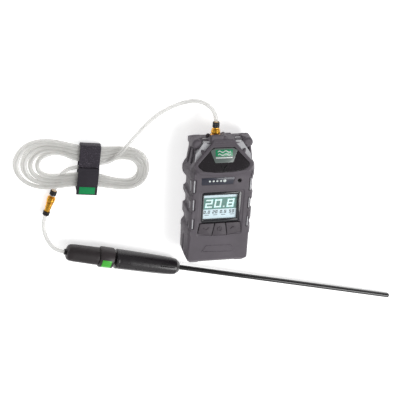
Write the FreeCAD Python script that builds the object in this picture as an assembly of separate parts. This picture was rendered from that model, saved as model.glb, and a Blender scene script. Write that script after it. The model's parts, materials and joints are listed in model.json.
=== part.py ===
"""Portable multi-gas detector with its sampling line and probe, in millimetres.

The detector lies on its back: +Z is out of the display, +Y is the inlet end and +X is the
right of the face. The origin is under the middle of the detector, on the table.
"""
import FreeCAD, Part
import math
import os

V = FreeCAD.Vector

# ---- driving dimensions -------------------------------------------------------------------
BOTTOM, TOP = -86.0, 84.0            # ends of the rubber armour
SHOULDER, BASE, KNOB = 44.5, 42.5, 37.6   # half widths, from widest down
RIB, RAIL = 39.8, 37.4               # half widths at the grip ribs and at the window rails
BACK, CASE_BACK = 5.0, 7.0           # heights of the armour's back and of the housing's back
ARMOUR = 2.5                         # thickness of the armour over the front face
WALL = 2.2                           # housing wall
SPLIT, SEAL = 21.5, 0.4              # parting height, and half the seal's thickness
FLANGE = 1.1                         # how far the housings' joint flange stands out
FRONT = [(BOTTOM, 41.5), (-78, 42.5), (-40, 45.0), (38, 47.0), (47, 49.0), (TOP, 37.5)]
WINDOWS = [(-31.0, -23.5), (-7.5, 5.0), (16.0, 32.5), (52.5, 66.0)]   # side windows, along Y
WINDOW_Z = (33.0, 36.5)
SLITS = [(-32.0, -17.0), (-6.0, 9.5), (18.5, 36.0)]   # slits through the front, along Y
SLIT_X = (34.0, 35.6)
DISPLAY = (0.0, -3.0, 47.0, 40.0)    # centre and size of the display opening
SCREEN = (44.0, 36.0)                # raised glass of the display module
HORN_AT = (20.5, 33.0)
BUTTON_TRAVEL = 0.8
BUTTON_GAP = 0.5
INLET = V(-8.0, 71.0, 27.0)          # inner end of the inlet fitting
PLUG_AT = V(-8.0, 86.0, 27.0)        # face where the line's plug meets the fitting
PUMP_AXIS = (8.0, 19.0)              # Y and Z of the pump shaft
VIBRATOR = V(-28.0, 22.0, 15.0)
CELL_R, CELL_L = 9.1, 50.0
SCREWS = [(-30.0, 44.0), (30.0, 44.0), (-32.0, -50.0), (32.0, -50.0)]
CLIP_SCREWS = [(-6.0, 51.0), (6.0, 51.0)]
SENSORS = {"combustible_sensor": (-11.0, 34.0), "oxygen_sensor": (11.0, 34.0),
           "toxic_sensor": (-11.0, 56.0), "infrared_sensor": (11.0, 56.0)}
CLIP_W, CLIP_Y, CLIP_T = 22.0, (5.0, 61.0), 1.2
BELT_Y = (3.0, 64.0)                 # where the back armour is open for a belt
PAD_Y = (-66.0, 69.0)                # rows of the four feet on the back
KNOB_Z = (18.0, 34.5)                # heights of the corner knobs

TUBE_D = 4.8                         # sampling line
COUPLING_AT, COUPLING_HEADING = V(-199.2, 11.0, 5.0), -108.8
COUPLING_L = 34.5
SLEEVE_TRAVEL = 2.0
STRAP_AT, STRAP_TURN, STRAP_W = V(-158.2, 37.6, 0.0), -5.5, 25.0
HANK_H = 11.4

PROBE_AT = V(-189.5, -69.4, 14.85)   # rear face of the probe's nipple
PROBE_HEADING, PROBE_DROOP = -13.88, 1.43
PROBE_L = 467.0
ROD_D = 6.35
ROOT_R = 2.9  # the rod's turned-down root, which is glued into the front grip
COLLAR_S = (44.5, 63.0)              # the collar, along the probe from its rear face
FRONT_S = (65.8, 151.0)              # the front grip
SLOT_TURN = 63.0                     # how far its two slots are turned up from the side
PUSH = 2.5                           # how far the front grip is pushed before it turns


# ---- helpers ------------------------------------------------------------------------------
def rounded(points, place):
    """Closed wire through (a, b, radius) corners; place turns (a, b) into a vector."""
    edges, ends = [], []
    for i, (a, b, r) in enumerate(points):
        corner = V(a, b, 0)
        back = V(*points[i - 1][:2], 0) - corner
        on = V(*points[(i + 1) % len(points)][:2], 0) - corner
        back.normalize()
        on.normalize()
        half = back.getAngle(on) / 2
        if r == 0 or half > math.radians(89.5):
            ends.append((corner, corner, corner))
            continue
        reach = r / math.tan(half)
        middle = (back + on).normalize() * (r / math.sin(half) - r)
        ends.append((corner + back * reach, corner + middle, corner + on * reach))
    for i, (start, middle, end) in enumerate(ends):
        last = ends[i - 1][2]
        if last.distanceToPoint(start) > 1e-6:
            edges.append(Part.LineSegment(place(last), place(start)).toShape())
        if start.distanceToPoint(end) > 1e-6:
            edges.append(Part.Arc(place(start), place(middle), place(end)).toShape())
    return Part.Wire(edges)


def on_table(p):
    return V(p.x, p.y, 0)


def on_side(p):
    return V(0, p.x, p.y)


def on_end(p):
    return V(p.x, 0, p.y)


def mirrored(half):
    """A symmetric outline from its +X half, given from the bottom up."""
    return half + [(-x, y, r) for x, y, r in reversed(half)]


def offset(wire, distance):
    return wire.makeOffset2D(distance) if distance else wire


def prism(points, low, high, grow=0.0):
    """A vertical prism over a rounded outline."""
    wire = offset(rounded(points, on_table), grow)
    solid = Part.Face(wire).extrude(V(0, 0, high - low))
    return solid.translated(V(0, 0, low))


def envelope(plan, side, end, grow=0.0):
    """What a plan, a side view and an end view of the same body have in common."""
    high = prism(plan, -5, 60, grow)
    wide = Part.Face(offset(rounded(side, on_side), grow)).extrude(V(120, 0, 0))
    long = Part.Face(offset(rounded(end, on_end), grow)).extrude(V(0, 240, 0))
    body = high.common(wide.translated(V(-60, 0, 0)))
    return body.common(long.translated(V(0, -120, 0)))


def slab(top, bottom):
    """The layer between two depths under the front face."""
    line = [V(-60, y, z - top) for y, z in FRONT] + [V(-60, y, z - bottom) for y, z in FRONT[::-1]]
    return Part.Face(Part.makePolygon(line + line[:1])).extrude(V(120, 0, 0))


def front_z(y):
    for (y0, z0), (y1, z1) in zip(FRONT, FRONT[1:]):
        if y0 <= y <= y1:
            return z0 + (z1 - z0) * (y - y0) / (y1 - y0)
    raise ValueError(y)


def box(x, y, z):
    """A box from three (low, high) pairs."""
    return Part.makeBox(x[1] - x[0], y[1] - y[0], z[1] - z[0], V(x[0], y[0], z[0]))


def disc(x, y, low, high, r):
    return Part.makeCylinder(r, high - low, V(x, y, low))


def turned(profile):
    """A solid turned about X from (s, r) points; the axis closes it."""
    points = [V(s, r, 0) for s, r in profile]
    points = [V(profile[0][0], 0, 0)] + points + [V(profile[-1][0], 0, 0)]
    clean = [p for i, p in enumerate(points) if i == 0 or p.distanceToPoint(points[i - 1]) > 1e-9]
    face = Part.Face(Part.makePolygon(clean + clean[:1]))
    return face.revolve(V(0, 0, 0), V(1, 0, 0), 360)


def rod(start, end, r):
    """A plain round bar along X."""
    return Part.makeCylinder(r, end - start, V(start, 0, 0), V(1, 0, 0))


def placed(shape, at, heading, droop=0.0):
    """Turn a body made along X to its heading and lay it at its place."""
    turn = FreeCAD.Rotation(V(0, 0, 1), heading) * FreeCAD.Rotation(V(0, 1, 0), droop)
    return shape.transformed(FreeCAD.Placement(at, turn).toMatrix())


def on_inlet(shape):
    return placed(shape, PLUG_AT, 90)


def on_coupling(shape):
    return placed(shape, COUPLING_AT, COUPLING_HEADING)


def on_probe(shape):
    return placed(shape, PROBE_AT, PROBE_HEADING, PROBE_DROOP)


def tube(name, points, diameter):
    """A tube along straight runs joined by tangent arcs as large as the runs allow."""
    points = [V(*p) for p in points]
    edges, radii, last = [], [], points[0]
    for before, corner, after in zip(points, points[1:], points[2:]):
        back, on = before - corner, after - corner
        shorter = min(back.Length, on.Length)
        turn = math.pi - back.getAngle(on)
        radius = 0.45 * shorter / math.tan(turn / 2)
        radii.append(round(radius, 1))
        back.normalize()
        on.normalize()
        reach = 0.45 * shorter
        middle = (back + on).normalize() * (radius / math.cos(turn / 2) - radius)
        edges.append(Part.LineSegment(last, corner + back * reach).toShape())
        last = corner + on * reach
        edges.append(Part.Arc(corner + back * reach, corner + middle, last).toShape())
    edges.append(Part.LineSegment(last, points[-1]).toShape())
    path = Part.Wire(edges)
    across = points[1] - points[0]
    section = Part.Wire(Part.makeCircle(diameter / 2, points[0], across))
    solid = path.makePipeShell([section], True, True)
    expected = math.pi * diameter ** 2 / 4 * path.Length
    print(name, "length", round(path.Length, 1), "radii", radii,
          "volume ratio", round(solid.Volume / expected, 4))
    return solid


def write(name, shape):
    shape.exportStep(os.path.join("parts", name + ".step"))


def union(shapes):
    shapes = list(shapes)
    return shapes[0].multiFuse(shapes[1:]).removeSplitter()


# ---- outlines of the detector -------------------------------------------------------------
def grip_side():
    """The armour's right edge past the side windows and ribs, from the bottom up."""
    (a0, a1), (b0, b1), (c0, c1), _ = WINDOWS
    return [(BASE, a0 - 2.5, 1.2), (38.4, a0, 0.5), (38.4, a1, 0.5), (RIB, a1 + 1.5, 1),
            (RIB, b0 - 1.5, 1), (RAIL, b0, 0.5), (RAIL, b1, 0.5), (RIB, b1 + 1.5, 1),
            (RIB, c0 - 1.5, 1), (RAIL, c0, 0.5), (RAIL, c1, 0.5)]


ARMOUR_PLAN = mirrored([(23, BOTTOM + 3, 1), (25.5, BOTTOM, 2), (33, BOTTOM, 5),
                        (BASE, -72, 14)] + grip_side() + [
    (SHOULDER, 36, 2), (SHOULDER, 46.5, 2), (39.2, 50.5, 1), (36.2, 66, 1), (KNOB, 69, 2),
    (KNOB, 78, 5), (33, TOP, 4), (25, TOP, 1.5), (22.5, TOP - 2.5, 1), (15, TOP - 2.5, 1),
    (13, TOP, 1)])
ARMOUR_SIDE = [(-79, BACK, 2), (BOTTOM, 12, 6), (BOTTOM, 35, 7), (-78, 42.5, 7), (-40, 45, 0),
               (38, 47, 2), (47, 49, 2), (TOP, 37.5, 4), (TOP, 20, 6), (76, BACK, 3)]
ARMOUR_END = mirrored([(34, BACK, 3), (41.5, 11.5, 6), (SHOULDER, 17, 5), (SHOULDER, 21, 6),
                       (38.9, 41, 6), (34.5, 48.5, 4)])
CASE_PLAN = mirrored([(39.5, -81, 15), (39.5, -36, 1), (36.2, -32, 1), (36.2, 48, 2),
                      (33.5, 66, 2), (24, 79.5, 2)])
CASE_SIDE = [(-76, CASE_BACK, 2), (-83, 14, 5), (-83, 33, 7), (-75.5, 40.16, 6), (-40, 42.5, 0),
             (38, 44.5, 2), (47, 46.5, 2), (81, 35.93, 4), (81, 21, 5), (73.5, CASE_BACK, 2)]
CASE_END = mirrored([(33, CASE_BACK, 2), (39.5, 12.5, 4), (41.5, 18, 4), (41.5, 24, 4),
                     (37.6, 40, 5), (32, 46.5, 3)])
LENS_PLAN = mirrored([(10, 46, 30), (26, 48.5, 6), (33, 54.5, 3), (13, 75, 3)])
BADGE_PLAN = mirrored([(11, 57.5, 2), (16.5, 71.5, 1), (11, 74.2, 1)])
BUTTON_FIELD = mirrored([(9.5, -42.6, 40), (28, -39, 1.5), (25.8, -24.2, 1)])
DIVIDERS = ((6.8, -24.2), (9.9, -43.0))     # the gap beside the middle button, top and bottom


def rectangle(cx, cy, w, h, r=1.0):
    x, y = w / 2, h / 2
    return [(cx - x, cy - y, r), (cx + x, cy - y, r), (cx + x, cy + y, r), (cx - x, cy + y, r)]


def front_openings(grow):
    """What is open through the front: display, buttons, lens and horn hole."""
    cuts = [prism(rectangle(*DISPLAY, 2), 20, 60, grow), prism(BUTTON_FIELD, 20, 60),
            prism(LENS_PLAN, 20, 60, grow), disc(*HORN_AT, 20, 60, 2.5)]
    return union(cuts).common(slab(-5, ARMOUR + WALL + 2))


def case():
    """The closed outer body of both housings with their joint flange."""
    flange = prism(CASE_PLAN, 18.5, 25.5, FLANGE)
    return envelope(CASE_PLAN, CASE_SIDE, CASE_END).fuse(flange).removeSplitter()


def cavity():
    return envelope(CASE_PLAN, CASE_SIDE, CASE_END, -WALL)


def inlet_hole():
    return Part.makeCylinder(5.0, 30, V(INLET.x, INLET.y, INLET.z), V(0, 1, 0))


def armour():
    """The rubber jacket, still in one, over the case."""
    body = envelope(ARMOUR_PLAN, ARMOUR_SIDE, ARMOUR_END)
    knobs = []
    for x in (-31.0, 31.0):
        knob = disc(x, 76.8, *KNOB_Z, 6.6)
        knobs.append(knob.makeFillet(3, [e for e in knob.Edges if len(e.Vertexes) == 1]))
    pads = [prism(rectangle(x, y, 13, 9, 3), 0, BACK + 2) for x in (-27, 27) for y in PAD_Y]
    block = box((-12.5, 12.5), (74, TOP), (KNOB_Z[0], 38.5))
    hood = box((-15.4, -0.6), (81, 86), (33.8, 38.0))
    body = union([body, block, hood] + knobs + pads).cut(case())
    for low, high in WINDOWS:
        for x in ((-60, -33), (33, 60)):
            body = body.cut(box(x, (low, high), WINDOW_Z))
    for span in SLITS:
        slit = box(SLIT_X, span, (38, 60))
        body = body.cut(slit).cut(slit.mirror(V(0, 0, 0), V(1, 0, 0)))
    for side in (-1, 1):
        small = [(side * x, y, 0.8) for x, y in ((14.8, 80.3), (27, 79.3), (22.3, 71.5))]
        large = [(side * x, y, 0.8) for x, y in ((34, 70.2), (27.2, 66.9), (36, 54))]
        body = body.cut(prism(small, 30, 60)).cut(prism(large, 30, 60))
        body = body.cut(box((side * 20 - 5, side * 20 + 5), (80, 90), (24, 34)))
    strip = prism(NAME_PLAN, 30, 60).common(slab(-3, 0.7))
    body = body.cut(front_openings(0)).cut(strip).cut(inlet_hole())
    body = body.cut(box((-60, 60), BELT_Y, (-1, CASE_BACK)))
    contacts = [disc(x, -64, 0, CASE_BACK, 2.6) for x in (-9, 0, 9)]
    heads = [disc(x, y, 0, CASE_BACK + 3, 3.0) for x, y in SCREWS]
    return body.cut(union(contacts + heads))


NAME_PLAN = [(-26.5, 28.5, 0.6), (12.8, 28.5, 0.6), (14.8, 38.5, 0.6), (-27, 38.5, 0.6)]


def armours():
    body = armour()
    top = box((-60, 60), (-100, 100), (SPLIT, 60))
    bottom = box((-60, 60), (-100, 100), (-5, SPLIT))
    write("front_armour", body.common(top))
    write("back_armour", body.common(bottom))


def housings():
    shell = case().cut(cavity())
    bosses = union(disc(x, y, 6, 50, 3.6) for x, y in SCREWS)
    pads = union(disc(x, y, 6, CASE_BACK + 3.1, 3.0) for x, y in CLIP_SCREWS)
    shell = union([shell, bosses.common(case()), pads.common(case())])
    shell = shell.cut(front_openings(-1.0)).cut(inlet_hole())
    shell = shell.cut(union(disc(x, y, 5, CASE_BACK + 2.4, 1.25) for x, y in CLIP_SCREWS))
    shell = shell.cut(union(screw_shapes()))
    write("front_housing", shell.common(box((-60, 60), (-100, 100), (SPLIT + SEAL, 60))))
    write("back_housing", shell.common(box((-60, 60), (-100, 100), (-5, SPLIT - SEAL))))
    ring = prism(CASE_PLAN, SPLIT - SEAL, SPLIT + SEAL, 0.6)
    ring = ring.cut(prism(CASE_PLAN, 0, 50, -WALL)).cut(union(screw_shapes() + [inlet_hole()]))
    write("housing_seal", ring.cut(armour()))


# ---- fasteners and clip -------------------------------------------------------------------
def screw_shapes():
    screws = []
    for x, y in SCREWS:
        head = disc(x, y, CASE_BACK + 0.2, CASE_BACK + 2.4, 2.6)
        screws.append(head.fuse(disc(x, y, CASE_BACK + 2.4, 34, 1.5)).removeSplitter())
    return screws


def clip():
    """A folded steel belt clip, and its two screws."""
    low, high = CLIP_Y
    root, leaf = CASE_BACK - CLIP_T, 0.6
    outline = [(high - 16, CASE_BACK, 0), (high, CASE_BACK, 2.4), (high, leaf, 2.4),
               (low + 3, leaf, 3), (low, leaf + 1.6, 0), (low + 0.7, leaf + 2.6, 0),
               (low + 3.4, leaf + CLIP_T, 2), (high - CLIP_T, leaf + CLIP_T, 1.2),
               (high - CLIP_T, root, 1.2), (high - 16, root, 0)]
    strip = Part.Face(rounded(outline, on_side)).extrude(V(CLIP_W, 0, 0))
    strip = strip.translated(V(-CLIP_W / 2, 0, 0))
    holes = union(disc(x, y, 3, 9, 1.25) for x, y in CLIP_SCREWS)
    write("belt_clip", strip.cut(holes))
    screws = [disc(x, y, root - 1.2, root, 2.3).fuse(disc(x, y, root, CASE_BACK + 2.4, 1.25))
              for x, y in CLIP_SCREWS]
    write("belt_clip_screws", Part.makeCompound([s.removeSplitter() for s in screws]))


# ---- front of the detector ----------------------------------------------------------------
def display():
    pane = prism(rectangle(*DISPLAY, 2), 20, 60, -0.15).common(slab(0.9, ARMOUR))
    write("display_window", pane)
    cx, cy = DISPLAY[:2]
    base = box((cx - 25, cx + 25), (cy - 19, cy + 20), (33.5, 38.2))
    glass = prism(rectangle(cx, cy, *SCREEN, 1), 38.2, front_z(-25) - ARMOUR - 0.5)
    write("display_module", base.fuse(glass).removeSplitter())


def lens_and_badge():
    write("alarm_lens", prism(LENS_PLAN, 20, 60, -0.1).common(slab(0.3, ARMOUR)))
    write("badge_plate", prism(BADGE_PLAN, 20, 60).common(slab(-0.5, 0.3)))
    write("name_strip", prism(NAME_PLAN, 20, 60, -0.05).common(slab(0.2, 0.7)))


def button(name, low, high, stem_at):
    """One rubber-topped key between two dividing lines, with its retaining flange."""
    region = [V(x, y, 20) for x, y in low + high]
    key = Part.Face(Part.makePolygon(region + region[:1])).extrude(V(0, 0, 40))
    field = prism(BUTTON_FIELD, 20, 60, -BUTTON_GAP)
    cap = key.common(field).common(slab(-0.5, 5.5))
    x, y = stem_at
    z = front_z(y)
    flange = box((x - 5.5, x + 5.5), (y - 11.3, y + 10), (z - 7.6, z - 6.4))
    neck = box((x - 5.5, x + 5.5), (y - 6, y + 6), (z - 6.5, z - 5))
    stem = disc(x, y, 33.4, z - 6.5, 2.4)
    write(name, union([cap, flange, neck, stem]))


def buttons():
    (xt, yt), (xb, yb) = DIVIDERS
    half = BUTTON_GAP
    middle = [(-xt + half, yt), (xt - half, yt)], [(xb - half, yb), (-xb + half, yb)]
    left = [(-xb - half, yb - 2), (-xt - half, yt + 2)], [(-40, yt + 2), (-40, yb - 2)]
    right = [(40, yb - 2), (40, yt + 2)], [(xt + half, yt + 2), (xb + half, yb - 2)]
    button("button_down", *left, (-17.5, -32.0))
    button("button_power", *middle, (0.0, -33.0))
    button("button_up", *right, (17.5, -32.0))
    domes = []
    for x, y in ((-17.5, -32.0), (0.0, -33.0), (17.5, -32.0)):
        dome = Part.makeCone(4.0, 2.2, 0.9, V(x, y, BOARD_Z[1]))
        domes.append(dome)
    write("button_domes", Part.makeCompound(domes))


# ---- inside the detector ------------------------------------------------------------------
BOARD_Z = (29.8, 31.4)
ALARM_Z = (32.2, 33.4)
SENSOR_Z = (10.8, 26.7)
MANIFOLD_Z = (27.5, 31.0)


def boards():
    write("main_board", box((-28, 28), (-74, 22), BOARD_Z))
    write("alarm_board", box((-24, 24), (24, 66), ALARM_Z))
    at = [(x, y) for y in (51, 61) for x in (-12, 0, 12)]
    leds = [box((x - 2, x + 2), (y - 1.5, y + 1.5), (ALARM_Z[1], ALARM_Z[1] + 1.8))
            for x, y in at]
    write("alarm_lamps", Part.makeCompound(leds))
    horn = disc(*HORN_AT, ALARM_Z[1], 41.4, 6.5).cut(disc(*HORN_AT, 40.2, 42, 1.5))
    write("horn", horn)


def sensors():
    low, high = SENSOR_Z
    for name, (x, y) in SENSORS.items():
        body = disc(x, y, low, high, 9.5)
        write(name, body.fuse(disc(x, y, low - 0.6, low, 7.5)).removeSplitter())
    holes = union(disc(x, y, 20, 40, 6.0) for x, y in SENSORS.values())
    gasket = prism(rectangle(0, 45, 43, 43, 4), high, MANIFOLD_Z[0])
    write("sensor_gasket", gasket.cut(holes))
    plate = prism(rectangle(0, 46, 44, 45, 4), *MANIFOLD_Z)
    tower = box((INLET.x - 8, INLET.x + 8), (67.5, INLET.y), (21, 31))
    bore = Part.makeCylinder(1.7, 6, V(INLET.x, INLET.y - 4, 29), V(0, 1, 0))
    write("sensor_manifold", union([plate, tower]).cut(bore))


def pump():
    y, z = PUMP_AXIS
    at = V(0, y, z)
    write("pump_motor", placed(rod(7, 28, 7.5), at, 0))
    disc_part = rod(1.2, 4.6, 5.0).fuse(rod(4.6, 6.9, 1.5)).removeSplitter()
    pin = rod(-1.8, 1.2, 1.2).translated(V(0, 2.5, 0))
    write("pump_eccentric", placed(union([disc_part, pin]), at, 0))
    write("pump_head", box((-26, -4), (y - 9, y + 9), (z - 8, z + 8)))
    write("pump_diaphragm", placed(rod(-4, -3, 6.5), at, 0))


def vibrator():
    motor = Part.makeCylinder(3.5, 12, VIBRATOR, V(0, 1, 0))
    write("vibration_motor", motor)
    start = VIBRATOR + V(0, 12.6, 0)
    weight = Part.makeCylinder(3.2, 4, start, V(0, 1, 0))
    away = box((-40, -20), (30, 45), (VIBRATOR.z + 0.9, 30))
    shaft = Part.makeCylinder(0.8, 4.55, VIBRATOR + V(0, 12.05, 0), V(0, 1, 0))
    write("vibration_weight", union([weight.cut(away), shaft]))


def battery():
    floor = CASE_BACK + WALL
    tray = box((-28.2, 28.2), (-74, -21), (floor, floor + 1.6))
    ends = [box((-28.2, 28.2), span, (floor, 22)) for span in ((-74, -72.4), (-22.0, -21.0))]
    write("battery_tray", union([tray] + ends))
    start = V(0, -72.2, floor + 1.6 + CELL_R + 0.05)
    cells = [Part.makeCylinder(CELL_R, CELL_L, start + V(x, 0, 0), V(0, 1, 0))
             for x in (-18.8, 0, 18.8)]
    write("battery_cells", Part.makeCompound(cells))
    contacts = [disc(x, -64, CASE_BACK - 1.5, CASE_BACK, 2.5) for x in (-9, 0, 9)]
    write("charge_contacts", Part.makeCompound(contacts))


# ---- inlet and sampling line --------------------------------------------------------------
def inlet():
    length = PLUG_AT.y - INLET.y
    body = turned([(-length, 4.95), (-2, 4.95), (-2, 6.2), (0, 6.2)])
    bore = union([rod(-length, 0, 1.7), rod(-length, 2 - length, 4.0)])
    write("inlet_fitting", on_inlet(body.cut(bore)))
    write("inlet_filter", on_inlet(rod(-length, 2 - length, 3.9)))
    plug = turned([(0, 4.4), (1.0, 4.4), (1.0, 2.9), (16, 2.9)]).cut(rod(11, 16, TUBE_D / 2))
    write("inlet_plug", on_inlet(plug))
    collar = turned([(1.6, 5.2), (2.2, 5.6), (4.6, 5.6), (5.2, 4.9), (7.6, 4.9)])
    write("inlet_collar", on_inlet(collar.cut(rod(0, 10, 3.0))))
    nut = turned([(9.6, 4.2), (15.4, 4.2), (16.4, 3.6)])
    flutes = [Part.makeCylinder(0.5, 7, V(9, 4.3 * math.cos(a), 4.3 * math.sin(a)), V(1, 0, 0))
              for a in (math.radians(30 * i) for i in range(12))]
    nut = nut.cut(union(flutes)).cut(rod(0, 16, 2.9)).cut(rod(15, 20, TUBE_D / 2))
    write("inlet_nut", on_inlet(nut))


LEAD = [(-8, 97, 27), (-8, 107, 27), (-12.4, 117.5, 26.5), (-20.6, 124.4, 24.2),
        (-31.6, 127, 19), (-44, 123, 12.5), (-58, 115.6, 6.6), (-73, 105.5, 2.9),
        (-88, 92, 2.5), (-100, 77.5, 2.5), (-111, 62, 2.9)]
TAIL = [(-172, 42.5, 5.5), (-185, 37.5, 4.2), (-193.5, 27.2, 4.2), (-199.2, 11, 5.0)]
PROBE_LEAD = [(-210.32, -21.66, 5), (-212.8, -29, 5), (-213.4, -40.5, 5.9),
              (-210.3, -52.2, 9.2), (-204.9, -61.4, 13.2), (-197.26, -67.48, 15.05),
              (-189.5, -69.4, 14.85)]
HANK_PLAN = [(-245, 79, 30), (-157, 67.5, 90), (-81, 67, 27), (-81, 5, 27), (-157, 14.5, 90),
             (-245, 11.5, 30)]
HANK_HOLES = [[(-222, 61, 9), (-172, 56, 7), (-172, 37, 7), (-190, 31, 14), (-222, 31, 12)],
              [(-140, 49, 8), (-98, 49, 12), (-98, 23, 12), (-118, 23, 12), (-140, 33, 7)]]


def line():
    write("line_lead", tube("line_lead", LEAD, TUBE_D))
    write("line_tail", tube("line_tail", TAIL, TUBE_D))
    write("probe_tube", tube("probe_tube", PROBE_LEAD, TUBE_D))
    hank = prism(HANK_PLAN, 0, HANK_H)
    for hole in HANK_HOLES:
        hank = hank.cut(prism(hole, -1, HANK_H + 1))
    under = placed(box((-13, 13), (-40, 40), (-1, 1.8)), STRAP_AT, STRAP_TURN)
    write("line_hank", hank.cut(under))


def strap():
    half = STRAP_W / 2
    ring = [(-26.9, 0, 2), (33.5, 0, 2), (33.5, 13.4, 2), (-26.9, 13.4, 2)]
    hole = [(-25.3, 1.6, 0.6), (31.9, 1.6, 0.6), (31.9, 11.8, 0.6), (-25.3, 11.8, 0.6)]
    loop = Part.Face(rounded(ring, on_side)).extrude(V(STRAP_W, 0, 0))
    loop = loop.cut(Part.Face(rounded(hole, on_side)).extrude(V(STRAP_W, 0, 0)))
    flap = box((0, STRAP_W), (-30, 3), (13.4, 15.0))
    band = union([loop, flap]).translated(V(-half, 0, 0))
    write("hank_strap", placed(band, STRAP_AT, STRAP_TURN))
    patch = box((-9.2, 9.2), (-28.6, -22.2), (15.0, 15.4))
    write("strap_patch", placed(patch, STRAP_AT, STRAP_TURN))


def coupling():
    end = COUPLING_L
    nuts = [turned([(0, 3.6), (1, 4.3), (5.4, 4.3)]).cut(rod(0, 6, 2.9)),
            turned([(end - 6, 4.3), (end - 1, 4.3), (end, 3.6)]).cut(rod(20, 40, 2.9))]
    write("coupling_nuts", Part.makeCompound([on_coupling(n) for n in nuts]))
    socket = turned([(0, 2.9), (5.4, 2.9), (5.4, 3.6), (7.0, 3.6), (7.0, 2.9), (16.6, 2.9),
                     (16.6, 4.3), (19.0, 4.3)])
    write("coupling_socket", on_coupling(socket))
    sleeve = turned([(9.2, 4.6), (9.8, 5.0), (15.0, 5.0), (15.6, 4.6)]).cut(rod(0, 20, 3.0))
    write("coupling_sleeve", on_coupling(sleeve))
    plug = turned([(19.0, 3.9), (24.0, 3.9), (24.0, 3.5), (end - 6, 3.5), (end - 6, 2.9),
                   (end, 2.9)])
    write("coupling_plug", on_coupling(plug))


# ---- probe --------------------------------------------------------------------------------
def probe_rear():
    nipple = turned([(0, 3.4), (1.2, 4.0), (7.0, 4.0), (7.0, 5.5), (12.0, 5.5)])
    write("probe_nipple", on_probe(nipple))
    grip = turned([(3.0, 6.8), (4.2, 9.0), (7.5, 10.6), (43.5, 11.2), (COLLAR_S[0], 11.2)])
    hollow = union([rod(3, 7, 4.0), rod(7, 12, 5.5), rod(12, 50, 7.4)])
    write("probe_rear_grip", on_probe(grip.cut(hollow)))
    start, end = COLLAR_S
    collar = turned([(start, 12.2), (start + 1.2, 13.25), (end - 1.2, 13.25), (end, 12.4),
                     (end, 7.7), (end + 17, 7.7)])
    collar = collar.cut(rod(start, end + 17, 5.0))
    band = turned([(start + 3, 13.25), (end - 3, 13.25)]).cut(rod(start, end, 12.85))
    keep = box((0, 100), (-20, 2), (-20, 20))
    band = band.common(keep)
    write("probe_collar", on_probe(collar.cut(band)))
    write("probe_label", on_probe(band))
    write("probe_filter", on_probe(rod(end + 6, end + 12, 4.95)))


def probe_front():
    start, end = FRONT_S
    grip = turned([(start, 12.4), (start + 1.5, 12.8), (end - 40, 12.2), (end - 12, 11.3),
                   (end - 5, 10.4), (end, 6.5)])
    chamber = union([rod(start, 103, 8.0), rod(103, 130, 2.6), rod(130, end, ROOT_R)])
    slots = [box((end - 28, end - 8), (side * 12 - 3, side * 12 + 3), (-0.8, 0.8))
             .rotated(V(0, 0, 0), V(1, 0, 0), SLOT_TURN) for side in (-1, 1)]
    write("probe_front_grip", on_probe(grip.cut(chamber).cut(union(slots))))
    tip = turned([(130, ROOT_R), (end, ROOT_R), (end, ROD_D / 2), (PROBE_L - 1.0, ROD_D / 2),
                  (PROBE_L, ROD_D / 2 - 0.8)])
    write("probe_rod", on_probe(tip.cut(rod(129, PROBE_L + 1, 1.5))))
    cup = rod(100.5, 102.9, 7.8).cut(rod(100, 103, 2.6))
    write("probe_retainer", on_probe(cup))
    coils = [Part.makeTorus(6.2, 0.6, V(s, 0, 0), V(1, 0, 0)) for s in SPRING_TURNS]
    bars = [rod(SPRING_TURNS[0], 100.5, 0.5).translated(V(0, 6.2, 0))]
    write("probe_spring", on_probe(union(coils + bars)))


SPRING_TURNS = [84.2, 87.4, 90.6, 93.8, 97.0, 99.9]


os.makedirs("parts", exist_ok=True)
armours()
housings()
write("housing_screws", Part.makeCompound(screw_shapes()))
clip()
display()
lens_and_badge()
buttons()
boards()
sensors()
pump()
vibrator()
battery()
inlet()
line()
strap()
coupling()
probe_rear()
probe_front()
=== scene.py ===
"""Looks of a portable gas detector with its sampling line, strap, coupling and rod probe.

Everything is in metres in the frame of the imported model, which is loaded first. Sizes written
in millimetres are turned into metres by MM.
"""

from __future__ import annotations

import json
import logging
import math
import random
from dataclasses import dataclass, field
from enum import Enum
from typing import Any, Callable, Iterable, Sequence

import bpy
from mathutils import Matrix, Vector

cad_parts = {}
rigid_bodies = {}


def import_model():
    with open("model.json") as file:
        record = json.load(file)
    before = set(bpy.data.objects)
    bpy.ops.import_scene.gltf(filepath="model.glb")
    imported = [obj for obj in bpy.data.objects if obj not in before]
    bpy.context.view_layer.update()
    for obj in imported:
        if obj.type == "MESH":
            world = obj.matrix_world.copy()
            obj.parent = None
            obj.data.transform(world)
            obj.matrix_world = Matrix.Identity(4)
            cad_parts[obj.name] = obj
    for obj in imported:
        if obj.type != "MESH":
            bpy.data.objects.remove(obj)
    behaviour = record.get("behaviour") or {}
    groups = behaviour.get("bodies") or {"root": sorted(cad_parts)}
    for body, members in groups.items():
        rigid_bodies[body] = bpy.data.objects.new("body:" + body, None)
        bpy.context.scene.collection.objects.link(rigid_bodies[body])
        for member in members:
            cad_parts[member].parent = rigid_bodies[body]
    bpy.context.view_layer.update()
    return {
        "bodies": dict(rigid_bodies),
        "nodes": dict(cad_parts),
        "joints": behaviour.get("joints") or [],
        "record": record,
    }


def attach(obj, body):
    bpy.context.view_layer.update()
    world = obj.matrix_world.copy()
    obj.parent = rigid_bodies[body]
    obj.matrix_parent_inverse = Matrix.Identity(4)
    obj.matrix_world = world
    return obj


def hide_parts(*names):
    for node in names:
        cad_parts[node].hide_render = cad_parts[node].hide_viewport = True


LOG = logging.getLogger("detector")
MM = 0.001
BODY = "detector"
Point = Sequence[float]
Colour = tuple[float, float, float]


def paint(red: int, green: int, blue: int) -> Colour:
    """A display colour from 0 to 255 as the linear colour that a shader takes."""
    return tuple((c / 255) ** 2.2 for c in (red, green, blue))


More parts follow.
